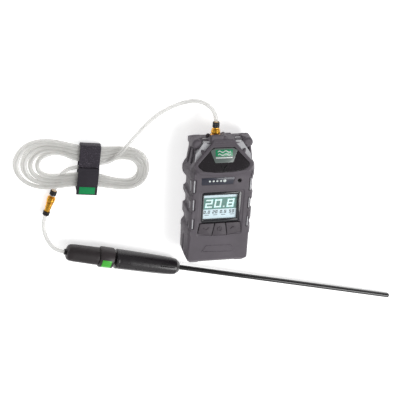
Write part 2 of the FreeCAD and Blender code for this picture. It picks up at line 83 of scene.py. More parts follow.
def shade(colour: Colour, factor: float) -> Colour:
    """A colour made darker or lighter by a factor."""
    return tuple(min(1.0, c * factor) for c in colour)


# ---- shaders ------------------------------------------------------------------------------
class Value:
    """A shader output that can be used in arithmetic; each step adds one Math node."""

    def __init__(self, graph: "Graph", socket: Any) -> None:
        """Wrap a socket of one material's node tree."""
        self.graph = graph
        self.socket = socket

    def math(self, operation: str, other: Any = None) -> "Value":
        """Apply a Math node to this value, and to another if one is given.

        Args:
            operation: name of the Math node's operation.
            other: a number or Value for the second input.

        Returns:
            The result as a new Value.
        """
        inputs = {0: self, 1: other}
        given = {k: v for k, v in inputs.items() if v is not None}
        return self.graph.node("ShaderNodeMath", {"operation": operation}, given)

    def __add__(self, other: Any) -> "Value":
        """Sum."""
        return self.math("ADD", other)

    def __radd__(self, other: Any) -> "Value":
        """Sum with a number on the left."""
        return self.math("ADD", other)

    def __sub__(self, other: Any) -> "Value":
        """Difference."""
        return self.math("SUBTRACT", other)

    def __mul__(self, other: Any) -> "Value":
        """Product."""
        return self.math("MULTIPLY", other)

    def __rmul__(self, other: Any) -> "Value":
        """Product with a number on the left."""
        return self.math("MULTIPLY", other)

    def __gt__(self, other: Any) -> "Value":
        """1 where this value is the greater one, else 0."""
        return self.math("GREATER_THAN", other)

    def __lt__(self, other: Any) -> "Value":
        """1 where this value is the smaller one, else 0."""
        return self.math("LESS_THAN", other)

    def clamp(self) -> "Value":
        """The value held between 0 and 1."""
        return self.math("MAXIMUM", 0.0).math("MINIMUM", 1.0)


class Graph:
    """One material and the nodes that feed its Principled shader."""

    def __init__(self, name: str) -> None:
        """Start a material with only its output and Principled shader."""
        self.material = bpy.data.materials.new(name)
        self.material.use_nodes = True
        self.tree = self.material.node_tree
        self.shader = self.tree.nodes["Principled BSDF"]

    def node(self, kind: str, settings: dict[str, Any] | None = None,
             inputs: dict[Any, Any] | None = None, output: Any = 0) -> Value:
        """Add a node, set it and link it.

        Args:
            kind: the node's type name.
            settings: its own settings.
            inputs: socket name or index to a number, colour or Value.
            output: name or index of the output to return.

        Returns:
            The chosen output.
        """
        made = self.tree.nodes.new(kind)
        for key, value in (settings or {}).items():
            setattr(made, key, value)
        for key, value in (inputs or {}).items():
            self._feed(made.inputs[key], value)
        return Value(self, made.outputs[output])

    def _feed(self, socket: Any, value: Any) -> None:
        """Link a Value to a socket, or set its number or colour."""
        if isinstance(value, Value):
            self.tree.links.new(value.socket, socket)
        else:
            socket.default_value = value

    def set(self, **sockets: Any) -> "Graph":
        """Set or link the Principled shader's sockets, named with _ for each space."""
        for name, value in sockets.items():
            if isinstance(value, tuple) and len(value) == 3:
                value = (*value, 1.0)
            self._feed(self.shader.inputs[name.replace("_", " ")], value)
        return self

    def place(self, output: str = "Object") -> Value:
        """Texture coordinates of the piece itself."""
        return self.node("ShaderNodeTexCoord", output=output)

    def axis(self, which: str, source: Value | None = None) -> Value:
        """One coordinate of a point, in metres."""
        vector = source or self.place()
        return self.node("ShaderNodeSeparateXYZ", {}, {0: vector}, which)

    def noise(self, scale: float, detail: float = 3.0, vector: Value | None = None,
              roughness: float = 0.5) -> Value:
        """Cloudy noise from 0 to 1 about 1/scale metres across."""
        inputs = {"Vector": vector or self.place(), "Scale": scale, "Detail": detail,
                  "Roughness": roughness}
        return self.node("ShaderNodeTexNoise", {}, inputs)

    def cells(self, scale: float, feature: str = "F1", vector: Value | None = None) -> Value:
        """Distance pattern of a cell texture."""
        inputs = {"Vector": vector or self.place(), "Scale": scale}
        return self.node("ShaderNodeTexVoronoi", {"feature": feature}, inputs)

    def mix(self, factor: Any, first: Any, second: Any) -> Value:
        """Blend two colours."""
        colours = [(*c, 1.0) if isinstance(c, tuple) else c for c in (first, second)]
        return self.node("ShaderNodeMix", {"data_type": "RGBA"},
                         {0: factor, 6: colours[0], 7: colours[1]}, 2)

    def range(self, value: Value, low: float, high: float, start: float = 0.0,
              end: float = 1.0) -> Value:
        """Map low..high to start..end, held at the ends."""
        inputs = {"Value": value, "From Min": low, "From Max": high, "To Min": start,
                  "To Max": end}
        return self.node("ShaderNodeMapRange", {"clamp": True}, inputs)

    def bump(self, height: Value, strength: float, distance: float) -> "Graph":
        """Feed a height in units of distance metres to the shader's normal."""
        normal = self.node("ShaderNodeBump", {}, {
            "Height": height, "Strength": strength, "Distance": distance})
        return self.set(Normal=normal)

    def edges(self) -> Value:
        """How convex the surface is: 0.5 on the flat and more on edges."""
        return self.node("ShaderNodeNewGeometry", output="Pointiness")


# ---- finishes -----------------------------------------------------------------------------
@dataclass(frozen=True)
class Moulded:
    """Moulded rubber or plastic with a fine grain, scuffs, lighter rubbed edges that also serve as
    painted edge highlights, and painted shade in its creases.
    """

    colour: Colour
    roughness: float = 0.5
    grain: float = 2600.0
    grain_depth: float = 0.25
    mottle: float = 0.10
    # How much lighter convex edges get: real rubbed wear, raised further as painted edge highlight.
    rubbed_edge_and_highlight_gain: float = 1.6
    coat: float = 0.0

    def build(self, name: str) -> bpy.types.Material:
        """Make the material under that name."""
        g = Graph(name)
        cloud = g.range(g.noise(34.0, 4.0), 0.3, 0.7)
        base = g.mix(cloud, shade(self.colour, 1 - self.mottle), shade(self.colour, 1 + self.mottle))
        scuffs = g.range(g.noise(420.0, 2.0), 0.35, 0.65)
        # Convex edges under a scuff mask made lighter: partly rubbed wear, partly painted edge
        # highlight.
        rubbed_edge_and_highlight_mask = (g.range(g.edges(), 0.515, 0.60) * scuffs).clamp()
        # Painted shade: concave creases darkened towards 0.42 of the colour.
        deep = g.range(g.edges(), 0.40, 0.49)
        base = g.mix(deep, shade(self.colour, 0.42), base)
        g.set(Base_Color=g.mix(rubbed_edge_and_highlight_mask, base, shade(self.colour, self.rubbed_edge_and_highlight_gain)))
        g.set(Roughness=g.range(g.noise(160.0, 3.0), 0.3, 0.7, self.roughness - 0.06,
                                self.roughness + 0.08))
        g.set(Coat_Weight=self.coat, Coat_Roughness=0.25)
        g.bump(g.noise(self.grain, 2.0), self.grain_depth, 0.00012)
        return g.material


@dataclass(frozen=True)
class Metal:
    """Turned, plated or brushed metal with fine lines and a few stains."""

    colour: Colour
    roughness: float = 0.22
    stain: float = 0.55
    brushed: bool = False

    def build(self, name: str) -> bpy.types.Material:
        """Make the material under that name."""
        g = Graph(name)
        cloud = g.range(g.noise(300.0, 4.0), 0.45, 0.75)
        g.set(Base_Color=g.mix(cloud, self.colour, shade(self.colour, self.stain)))
        g.set(Metallic=0.92)
        g.set(Roughness=g.range(g.noise(900.0, 3.0), 0.3, 0.7, self.roughness - 0.08,
                                self.roughness + 0.10))
        lines = g.noise(1800.0, 2.0)
        if self.brushed:
            stretch = g.node("ShaderNodeMapping", {}, {"Vector": g.place(),
                                                       "Scale": (2600.0, 60.0, 60.0)})
            lines = g.noise(1.0, 2.0, stretch)
        g.bump(lines, 0.2, 0.00006)
        return g.material


@dataclass(frozen=True)
class Glossy:
    """Gloss plastic or lacquer with dust and fine swirls under a clear coat."""

    colour: Colour
    roughness: float = 0.16
    dust: Colour = (0.45, 0.45, 0.45)
    glow: float = 0.0

    def build(self, name: str) -> bpy.types.Material:
        """Make the material under that name."""
        g = Graph(name)
        specks = g.range(g.noise(1500.0, 5.0), 0.64, 0.74)
        g.set(Base_Color=g.mix(specks * 0.25, self.colour, self.dust))
        g.set(Roughness=g.range(g.noise(120.0, 4.0), 0.3, 0.7, self.roughness,
                                self.roughness + 0.10))
        g.set(Coat_Weight=0.4, Coat_Roughness=0.08)
        g.bump(g.noise(700.0, 3.0), 0.06, 0.00008)
        if self.glow:
            g.set(Emission_Color=self.colour, Emission_Strength=self.glow)
        return g.material


@dataclass(frozen=True)
class Clear:
    """Clear or milky plastic: thin in the middle and denser towards its edges."""

    colour: Colour
    edge: Colour
    thin: float
    dense: float
    roughness: float = 0.12

    def build(self, name: str) -> bpy.types.Material:
        """Make the material under that name."""
        g = Graph(name)
        facing = g.node("ShaderNodeLayerWeight", {}, {"Blend": 0.35}, "Facing")
        haze = g.range(g.noise(90.0, 3.0), 0.3, 0.7, -0.08, 0.08)
        rim = g.range(facing, 0.25, 0.95)
        g.set(Base_Color=g.mix(rim, self.colour, self.edge))
        g.set(Alpha=(haze * self.thin + self.thin + rim * (self.dense - self.thin)).clamp())
        g.set(Roughness=self.roughness, IOR=1.45, Coat_Weight=0.3, Coat_Roughness=0.05)
        return g.material


@dataclass(frozen=True)
class Woven:
    """Hook and loop tape: a plain weave, or a field of loops, with stray pale fibres."""

    colour: Colour
    fibre: Colour
    pitch: float = 1500.0
    looped: bool = False

    def build(self, name: str) -> bpy.types.Material:
        """Make the material under that name."""
        g = Graph(name)
        if self.looped:
            threads = g.cells(self.pitch)
        else:
            across = (g.axis("X") * self.pitch * 2.2).math("SINE")
            along = (g.axis("Y") * self.pitch * 2.2).math("SINE")
            threads = across * along * 0.5 + 0.5
        fluff = g.range(g.noise(900.0, 5.0), 0.56, 0.72)
        base = g.mix(threads, shade(self.colour, 0.55), shade(self.colour, 1.25))
        g.set(Base_Color=g.mix(fluff * (0.55 if self.looped else 0.12), base, self.fibre))
        g.set(Roughness=0.88, Sheen_Weight=0.35, Sheen_Roughness=0.4)
        g.bump(threads + fluff, 0.6, 0.00025)
        return g.material


@dataclass(frozen=True)
class Crystal:
    """A lit display: a pale panel inside a dark surround, with a faint dot grid."""

    panel: Colour
    surround: Colour
    centre: Point
    half: Point

    def build(self, name: str) -> bpy.types.Material:
        """Make the material under that name."""
        g = Graph(name)
        inside_x = (g.axis("X") - self.centre[0] * MM).math("ABSOLUTE") < self.half[0] * MM
        inside_y = (g.axis("Y") - self.centre[1] * MM).math("ABSOLUTE") < self.half[1] * MM
        inside = inside_x * inside_y
        dots = g.range(g.cells(3200.0, "DISTANCE_TO_EDGE"), 0.0, 0.08, 0.93, 1.0)
        cloud = g.range(g.noise(40.0, 2.0), 0.3, 0.7, 0.94, 1.0)
        tint = g.mix(dots * cloud, shade(self.panel, 0.8), self.panel)
        g.set(Base_Color=g.mix(inside, self.surround, tint))
        g.set(Emission_Color=g.mix(inside, (0.0, 0.0, 0.0), tint), Emission_Strength=0.35)
        g.set(Roughness=0.3)
        return g.material


RUBBER = paint(96, 90, 97)
FINISHES: dict[str, Any] = {
    "armour_rubber": Moulded(RUBBER, 0.52),
    "case_plastic": Moulded(paint(205, 205, 209), 0.38, 1800.0, 0.12, 0.05, 1.1),
    "seal_rubber": Moulded(paint(30, 30, 32), 0.7),
    "lens_dark": Glossy(paint(36, 31, 36), 0.10),
    "badge_grey": Glossy(paint(112, 124, 120), 0.28),
    "strip_blue": Glossy(paint(40, 42, 60), 0.30),
    "window_clear": Clear((0.9, 0.95, 0.95), (0.5, 0.55, 0.55), 0.05, 0.30, 0.04),
    "display_glass": Crystal(paint(208, 228, 236), paint(34, 36, 44), (-0.9, -3.0), (20.9, 16.8)),
    "key_rubber": Moulded(paint(82, 76, 82), 0.55, 3200.0, 0.3),
    "steel": Metal(paint(196, 198, 202), 0.24),
    "clip_steel": Metal(paint(176, 178, 182), 0.30, 0.75, True),
    "board_green": Glossy(paint(24, 92, 52), 0.35),
    "lamp_red": Glossy(paint(190, 26, 24), 0.15),
    "black_plastic": Moulded(paint(34, 32, 34), 0.40, 2200.0, 0.2, 0.10, 2.0),
    "sensor_steel": Metal(paint(186, 188, 192), 0.35),
    "sensor_plastic": Moulded(paint(214, 212, 205), 0.45),
    "brass": Metal(paint(232, 172, 66), 0.24, 0.80),
    "cell_sleeve": Glossy(paint(38, 82, 160), 0.30),
    "filter_white": Moulded(paint(232, 230, 224), 0.85, 3600.0, 0.6),
    "tube_clear": Clear((0.96, 0.955, 0.93), (0.66, 0.64, 0.59), 0.50, 0.86),
    "strap_fabric": Woven(paint(56, 52, 60), paint(128, 122, 134), 1300.0),
    "patch_green": Woven(paint(26, 165, 96), paint(70, 205, 140), 1700.0),
    "grip_matte": Moulded(paint(52, 46, 48), 0.46, 900.0, 0.75, 0.25, 2.2),
    "grip_gloss": Moulded(paint(38, 34, 38), 0.30, 2400.0, 0.10, 0.12, 2.0, 0.25),
    "label_green": Glossy(paint(70, 200, 52), 0.35),
    "rod_black": Glossy(paint(22, 21, 23), 0.24),
}
EXTRA: dict[str, Any] = {
    "strap_loops": Woven(paint(62, 57, 66), paint(142, 134, 148), 1100.0, True),
    "badge_green": Glossy(paint(18, 150, 98), 0.24),
    "mark_pale": Glossy(paint(226, 236, 232), 0.30),
    "lcd_teal": Glossy(paint(84, 138, 128), 0.34, glow=0.15),
    "lcd_ink": Glossy(paint(52, 78, 86), 0.40),
    "lcd_pale": Glossy(paint(222, 242, 242), 0.34, glow=0.35),
    "mask_gloss": Glossy(paint(30, 32, 38), 0.14),
    "collar_matte": Moulded(paint(58, 52, 54), 0.42, 1600.0, 0.35, 0.20, 2.0),
}


class Wardrobe:
    """The object's materials, each made once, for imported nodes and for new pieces."""

    made: dict[str, bpy.types.Material] = {}

    @classmethod
    def material(cls, name: str) -> bpy.types.Material:
        """The material of that name, made when it is first asked for."""
        if name not in cls.made:
            finish = FINISHES.get(name) or EXTRA[name]
            cls.made[name] = finish.build(name)
        return cls.made[name]

    @classmethod
    def dress_frame(cls, frame: dict[str, Any]) -> None:
        """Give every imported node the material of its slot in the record.
        """
        for part in frame["record"]["subparts"]:
            node = frame["nodes"][part["node"]]
            material = cls.material(part["material_slot"])
            if not node.material_slots:
                node.data.materials.append(material)
            for slot in node.material_slots:
                slot.material = material

    @classmethod
    def install(cls, piece: bpy.types.Object, slot: str, body: str = BODY,
                replaces: Sequence[str] = (), finish: str | None = None) -> bpy.types.Object:
        """Dress a new piece and hand it over to the frame.

        Args:
            piece: the finished mesh.
            slot: the record's material slot it takes.
            body: the body it moves with.
            replaces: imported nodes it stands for.
            finish: a material other than the slot's own.

        Returns:
            The piece.
        """
        piece.data.materials.clear()
        piece.data.materials.append(cls.material(finish or slot))
        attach(piece, body)
        if replaces:
            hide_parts(*replaces)
        LOG.info("%s rides on %s", piece.name, body)
        return piece


# ---- modelling ----------------------------------------------------------------------------
class Bench:
    """Modelling by operators, one piece at a time."""

    @staticmethod
    def only(obj: bpy.types.Object) -> bpy.types.Object:
        """Select this object alone and make it active."""
        bpy.ops.object.select_all(action="DESELECT")
        obj.select_set(True)
        bpy.context.view_layer.objects.active = obj
        return obj

    @staticmethod
    def named(name: str) -> bpy.types.Object:
        """Name the newest object and put its place into its mesh."""
        obj = bpy.context.active_object
        obj.name = name
        obj.data.name = name
        Bench.only(obj)
        bpy.ops.object.transform_apply(location=True, rotation=True, scale=True)
        return obj

    @staticmethod
    def edit(obj: bpy.types.Object, action: Callable[[], Any], mode: str = "VERT") -> None:
        """Run operators in edit mode on all of a mesh.

        Args:
            obj: the mesh object.
            action: what to do, with everything selected.
            mode: VERT, EDGE or FACE selection.
        """
        Bench.only(obj)
        bpy.ops.object.mode_set(mode="EDIT")
        bpy.ops.mesh.select_mode(type=mode)
        bpy.ops.mesh.select_all(action="SELECT")
        action()
        bpy.ops.object.mode_set(mode="OBJECT")

    @staticmethod
    def modify(obj: bpy.types.Object, kind: str, **settings: Any) -> bpy.types.Object:
        """Add a modifier of a kind with its settings and apply it."""
        Bench.only(obj)
        modifier = obj.modifiers.new(kind.lower(), kind)
        for key, value in settings.items():
            setattr(modifier, key, value)
        bpy.ops.object.modifier_apply(modifier=modifier.name)
        return obj

    @staticmethod
    def boolean(obj: bpy.types.Object, other: bpy.types.Object,
                operation: str = "DIFFERENCE") -> bpy.types.Object:
        """Join, cut or intersect with another closed mesh, which is used up."""
        Bench.modify(obj, "BOOLEAN", object=other, operation=operation, solver="EXACT")
        bpy.data.objects.remove(other)
        return obj

    @staticmethod
    def bevel(obj: bpy.types.Object, width: float, segments: int = 2,
              angle: float = 30.0) -> bpy.types.Object:
        """Round the edges sharper than an angle."""
        return Bench.modify(obj, "BEVEL", width=width, segments=segments, limit_method="ANGLE",
                            angle_limit=math.radians(angle), use_clamp_overlap=True)

    @staticmethod
    def smooth(obj: bpy.types.Object, angle: float = 35.0) -> bpy.types.Object:
        """Shade smooth except across sharp edges."""
        Bench.only(obj)
        bpy.ops.object.shade_smooth_by_angle(angle=math.radians(angle))
        return obj

    @staticmethod
    def melt(obj: bpy.types.Object, voxel: float, repeats: int = 4,
             factor: float = 0.5) -> bpy.types.Object:
        """Turn hard joined shapes into one moulding with soft edges."""
        Bench.modify(obj, "REMESH", mode="VOXEL", voxel_size=voxel, use_smooth_shade=True)
        if repeats:
            Bench.modify(obj, "SMOOTH", factor=factor, iterations=repeats)
        Bench.only(obj)
        bpy.ops.object.shade_smooth()
        return obj

    @staticmethod
    def cube(name: str, low: Point, high: Point) -> bpy.types.Object:
        """A box between two corners, in metres."""
        centre = [(a + b) / 2 for a, b in zip(low, high)]
        size = [b - a for a, b in zip(low, high)]
        bpy.ops.mesh.primitive_cube_add(size=1.0, location=centre, scale=size)
        return Bench.named(name)

    @staticmethod
    def post(name: str, foot: Point, radius: float, height: float,
             segments: int = 48) -> bpy.types.Object:
        """An upright cylinder from its foot, in metres."""
        middle = (foot[0], foot[1], foot[2] + height / 2)
        bpy.ops.mesh.primitive_cylinder_add(vertices=segments, radius=radius, depth=height,
                                            location=middle)
        return Bench.named(name)

    @staticmethod
    def prism(name: str, outline: Sequence[Point], low: float, high: float,
              turn: Matrix | None = None) -> bpy.types.Object:
        """A flat outline given thickness.

        Args:
            name: the object's name.
            outline: points round it, in metres.
            low: where it starts along Z.
            high: where it ends along Z.
            turn: how it is then turned, if it isn't upright.

        Returns:
            A closed mesh object.
        """
        bpy.ops.mesh.primitive_circle_add(vertices=len(outline), fill_type="NGON")
        obj = Bench.named(name)
        for vertex, point in zip(obj.data.vertices, outline):
            vertex.co = (point[0], point[1], low)
        thickness = {"value": (0.0, 0.0, high - low)}
        Bench.edit(obj, lambda: bpy.ops.mesh.extrude_region_move(
            TRANSFORM_OT_translate=thickness), "FACE")
        Bench.edit(obj, lambda: bpy.ops.mesh.normals_make_consistent(inside=False), "FACE")
        if turn is not None:
            obj.data.transform(turn)
        return obj

    @staticmethod
    def turned(name: str, profile: Sequence[tuple[float, float]], place: Matrix,
               segments: int = 48, bore: bool = False) -> bpy.types.Object:
        """A lathe-turned shape from (distance, radius) steps along its axis, in metres.

        Args:
            name: the object's name.
            profile: the steps from one end to the other; a bore runs there and back.
            place: the matrix that takes the shape's X axis to where it belongs.
            segments: faces round the shape.
            bore: True if the profile closes on itself instead of on the axis.

        Returns:
            A closed mesh object.
        """
        first = profile[0]
        bpy.ops.mesh.primitive_circle_add(vertices=segments, radius=first[1],
                                          fill_type="NOTHING" if bore else "NGON")
        obj = Bench.named(name)

        def extrude() -> None:
            """Pull the ring from step to step, and size it at each."""
            for (s0, r0), (s1, r1) in zip(profile, profile[1:]):
                bpy.ops.mesh.extrude_region_move(
                    TRANSFORM_OT_translate={"value": (0.0, 0.0, s1 - s0)})
                ratio = r1 / r0
                bpy.ops.transform.resize(value=(ratio, ratio, 1.0),
                                         center_override=(0.0, 0.0, s1 - first[0]))
            if bore:
                bpy.ops.mesh.select_all(action="SELECT")
                bpy.ops.mesh.remove_doubles(threshold=1e-7)
            bpy.ops.mesh.select_all(action="SELECT")
            bpy.ops.mesh.normals_make_consistent(inside=False)

        Bench.edit(obj, extrude, "EDGE" if bore else "FACE")
        start = Matrix.Translation((first[0], 0.0, 0.0))
        obj.data.transform(place @ start @ Matrix.Rotation(math.radians(90), 4, "Y"))
        return obj

    @staticmethod
    def copy(obj: bpy.types.Object, name: str) -> bpy.types.Object:
        """A copy of a piece with a mesh of its own."""
        Bench.only(obj)
        bpy.ops.object.duplicate(linked=False)
        return Bench.named(name)

    @staticmethod
    def joined(name: str, parts: Sequence[bpy.types.Object]) -> bpy.types.Object:
        """Several meshes as one object."""
        Bench.only(parts[0])
        for part in parts:
            part.select_set(True)
        if len(parts) > 1:
            bpy.ops.object.join()
        return Bench.named(name)

    @staticmethod
    def thin(obj: bpy.types.Object, limit: int) -> bpy.types.Object:
        """Bring a mesh under a number of triangles."""
        count = sum(len(face.vertices) - 2 for face in obj.data.polygons)
        if count > limit:
            Bench.modify(obj, "DECIMATE", ratio=limit / count)
        Bench.only(obj)
        bpy.ops.object.shade_smooth()
        return obj

    @staticmethod
    def flute(obj: bpy.types.Object, place: Matrix, span: tuple[float, float], count: int,
              depth: float) -> bpy.types.Object:
        """Press even grooves along a turned piece between two distances.

        Args:
            obj: the turned piece.
            place: the matrix it was turned at.
            span: where the grooves start and end along its axis.
            count: how many grooves go round it.
            depth: how deep they are.

        Returns:
            The piece.
        """
        back = place.inverted()
        widest = max((back @ v.co).yz.length for v in obj.data.vertices)
        for vertex in obj.data.vertices:
            local = back @ vertex.co
            radius = local.yz.length
            if span[0] <= local.x <= span[1] and radius > widest * 0.75:
                angle = math.atan2(local.z, local.y)
                press = depth * (0.5 - 0.5 * math.cos(count * angle)) / radius
                local.yz = local.yz * (1 - press)
                vertex.co = place @ local
        return obj

    @staticmethod
    def ruffle(obj: bpy.types.Object, depth: float, size: float) -> bpy.types.Object:
        """Roughen a dense mesh as looped pile does."""
        texture = bpy.data.textures.new(obj.name + "_pile", "CLOUDS")
        texture.noise_scale = size
        texture.noise_depth = 1
        return Bench.modify(obj, "DISPLACE", texture=texture, strength=depth, mid_level=0.7)


def rounded(points: Sequence[tuple[float, float, float]], steps: int = 6) -> list[Vector]:
    """Points round an outline of (x, y, radius) corners, in the units they are given in."""
    found: list[Vector] = []
    for i, (x, y, radius) in enumerate(points):
        corner = Vector((x, y))
        back = (Vector(points[i - 1][:2]) - corner).normalized()
        on = (Vector(points[(i + 1) % len(points)][:2]) - corner).normalized()
        half = back.angle(on) / 2
        if radius <= 0 or half > math.radians(89):
            found.append(corner)
            continue
        centre = corner + (back + on).normalized() * (radius / math.sin(half))
        start = corner + back * (radius / math.tan(half)) - centre
        end = corner + on * (radius / math.tan(half)) - centre
        for k in range(steps + 1):
            found.append(centre + Vector(start.lerp(end, k / steps)).normalized() * radius)
    return found


def scaled(points: Iterable[Point], factor: float = MM) -> list[Vector]:
    """Points in millimetres as points in metres."""
    return [Vector(p) * factor for p in points]


def heading(at: Point, yaw: float, droop: float = 0.0) -> Matrix:
    """The place of a piece made along X: its start, its yaw and how far it points down."""
    turn = Matrix.Rotation(math.radians(yaw), 4, "Z") @ Matrix.Rotation(
        math.radians(droop), 4, "Y")
    return Matrix.Translation(Vector(at)) @ turn


# ---- the stage ----------------------------------------------------------------------------
@dataclass
class Studio:
    """Camera, soft lights and a pale floor."""

    aim: Point = (0.0, 0.0, 0.024)
    distance: float = 1.118
    azimuth: float = -155.5
    elevation: float = 60.1
    roll: float = 155.38
    lens: float = 81.0
    slide: Point = (0.0215, 0.0035)

    def camera(self) -> None:
        """Stand the camera where it looks down on the detector's face from its inlet end."""
        a, e = math.radians(self.azimuth), math.radians(self.elevation)
        back = Vector((math.sin(a) * math.cos(e), -math.cos(a) * math.cos(e), math.sin(e)))
        right = Vector((0, 0, 1)).cross(back).normalized()
        right = Matrix.Rotation(math.radians(self.roll), 3, back) @ right
        up = back.cross(right)
        turn = Matrix((right, up, back)).transposed().to_4x4()
        place = Vector(self.aim) + back * self.distance
        place = place - right * self.slide[0] - up * self.slide[1]
        data = bpy.data.cameras.new("camera")
        data.lens = self.lens
        camera = bpy.data.objects.new("camera", data)
        camera.matrix_world = Matrix.Translation(place) @ turn
        bpy.context.scene.collection.objects.link(camera)
        bpy.context.scene.camera = camera

    def light(self, name: str, at: Point, size: float, power: float) -> None:
        """Hang one square soft light and turn it to the object."""
        data = bpy.data.lights.new(name, "AREA")
        data.energy = power
        data.size = size
        lamp = bpy.data.objects.new(name, data)
        away = Vector(at) - Vector(self.aim)
        turn = away.to_track_quat("Z", "Y").to_matrix().to_4x4()
        lamp.matrix_world = Matrix.Translation(Vector(at)) @ turn
        bpy.context.scene.collection.objects.link(lamp)

    def floor(self) -> None:
        """Lay a wide pale floor under the object."""
        bpy.ops.mesh.primitive_plane_add(size=8.0)
        floor = Bench.named("studio_floor")
        g = Graph("studio_white")
        g.set(Base_Color=(0.93, 0.93, 0.93), Roughness=0.9)
        g.set(Emission_Color=(1.0, 1.0, 1.0), Emission_Strength=0.60)
        floor.data.materials.append(g.material)

    def build(self) -> None:
        """Set the whole stage."""
        self.floor()
        self.camera()
        self.light("key", (1.0, -0.45, 1.35), 1.0, 18.0)
        self.light("fill", (-1.3, -0.2, 1.2), 1.4, 1.8)
        self.light("front", (0.1, -1.3, 1.1), 1.2, 2.5)
        world = bpy.data.worlds.new("studio_world")
        world.use_nodes = True
        world.node_tree.nodes["Background"].inputs[0].default_value = (1.0, 1.0, 1.0, 1.0)
        world.node_tree.nodes["Background"].inputs[1].default_value = 0.30
        bpy.context.scene.world = world
        bpy.context.scene.view_settings.view_transform = "Standard"


# ---- detector -----------------------------------------------------------------------------
def mirrored(half: Sequence[Point]) -> list[Point]:
    """A symmetric outline from its +X half, given from the bottom up."""
    return list(half) + [(-x, y, r) for x, y, r in reversed(half)]


def face_height(y: float) -> float:
    """Height of the front face at a distance along the case, in millimetres."""
    for (y0, z0), (y1, z1) in zip(FACE, FACE[1:]):
        if y <= y1:
            return z0 + (z1 - z0) * (y - y0) / (y1 - y0)
    return FACE[-1][1]


FACE = ((-86.0, 41.5), (-78.0, 42.5), (-40.0, 45.0), (38.0, 47.0), (47.0, 49.0), (84.0, 37.5))
SIDEWAYS = Matrix(((0, 0, 1, 0), (1, 0, 0, 0), (0, 1, 0, 0), (0, 0, 0, 1)))
ENDWAYS = Matrix(((1, 0, 0, 0), (0, 0, -1, 0), (0, 1, 0, 0), (0, 0, 0, 1)))
LENS = ((10, 46, 30), (26, 48.5, 6), (33, 54.5, 3), (13, 75, 3))
KEY_FIELD = ((9.5, -42.6, 40), (28, -39, 1.5), (25.8, -24.2, 1))


class Shaper:
    """Solids that follow the detector's sloping face; all sizes are millimetres."""

    @staticmethod
    def upright(name: str, outline: Sequence[Point], low: float, high: float) -> bpy.types.Object:
        """A prism over an outline with rounded corners."""
        return Bench.prism(name, scaled(rounded(outline)), low * MM, high * MM)

    @staticmethod
    def box(name: str, x: Point, y: Point, z: Point) -> bpy.types.Object:
        """A box from three (low, high) pairs."""
        low, high = zip(x, y, z)
        return Bench.cube(name, [v * MM for v in low], [v * MM for v in high])

    @staticmethod
    def layer(name: str, above: float, below: float) -> bpy.types.Object:
        """What lies between two distances over and under the front face."""
        line = [(y, z + above) for y, z in FACE] + [(y, z - below) for y, z in reversed(FACE)]
        return Bench.prism(name, scaled(line), -60 * MM, 60 * MM, SIDEWAYS)

    @classmethod
    def raised(cls, name: str, outline: Sequence[Point], above: float,
               below: float) -> bpy.types.Object:
        """The part of an outline that lies in a layer of the front face."""
        body = cls.upright(name, outline, 20, 60)
        return Bench.boolean(body, cls.layer("layer", above, below), "INTERSECT")

    @classmethod
    def envelope(cls, name: str, plan: Sequence[Point], side: Sequence[Point],
                 end: Sequence[Point]) -> bpy.types.Object:
        """What a plan, a side view and an end view of one body have in common."""
        body = cls.upright(name, plan, -5, 60)
        across = Bench.prism("side", scaled(rounded(side)), -60 * MM, 60 * MM, SIDEWAYS)
        along = Bench.prism("end", scaled(rounded(end)), -120 * MM, 120 * MM, ENDWAYS)
        Bench.boolean(body, across, "INTERSECT")
        return Bench.boolean(body, along, "INTERSECT")

    @staticmethod
    def bar(name: str, start: Point, end: Point, radius: float) -> bpy.types.Object:
        """A round bar with domed ends between two points."""
        a, b = Vector(start) * MM, Vector(end) * MM
        middle = (a + b) / 2
        turn = (b - a).to_track_quat("Z", "Y").to_euler()
        bpy.ops.mesh.primitive_cylinder_add(vertices=20, radius=radius * MM,
                                            depth=(b - a).length, location=middle,
                                            rotation=turn)
        obj = Bench.named(name)
        return Bench.bevel(obj, radius * 0.5 * MM, 3, 60)

    @staticmethod
    def settle(obj: bpy.types.Object, depth: float) -> bpy.types.Object:
        """Drop a flat piece made at height 0 onto the face, sunk by a depth."""
        for vertex in obj.data.vertices:
            vertex.co.z += (face_height(vertex.co.y / MM) - depth) * MM
        return obj


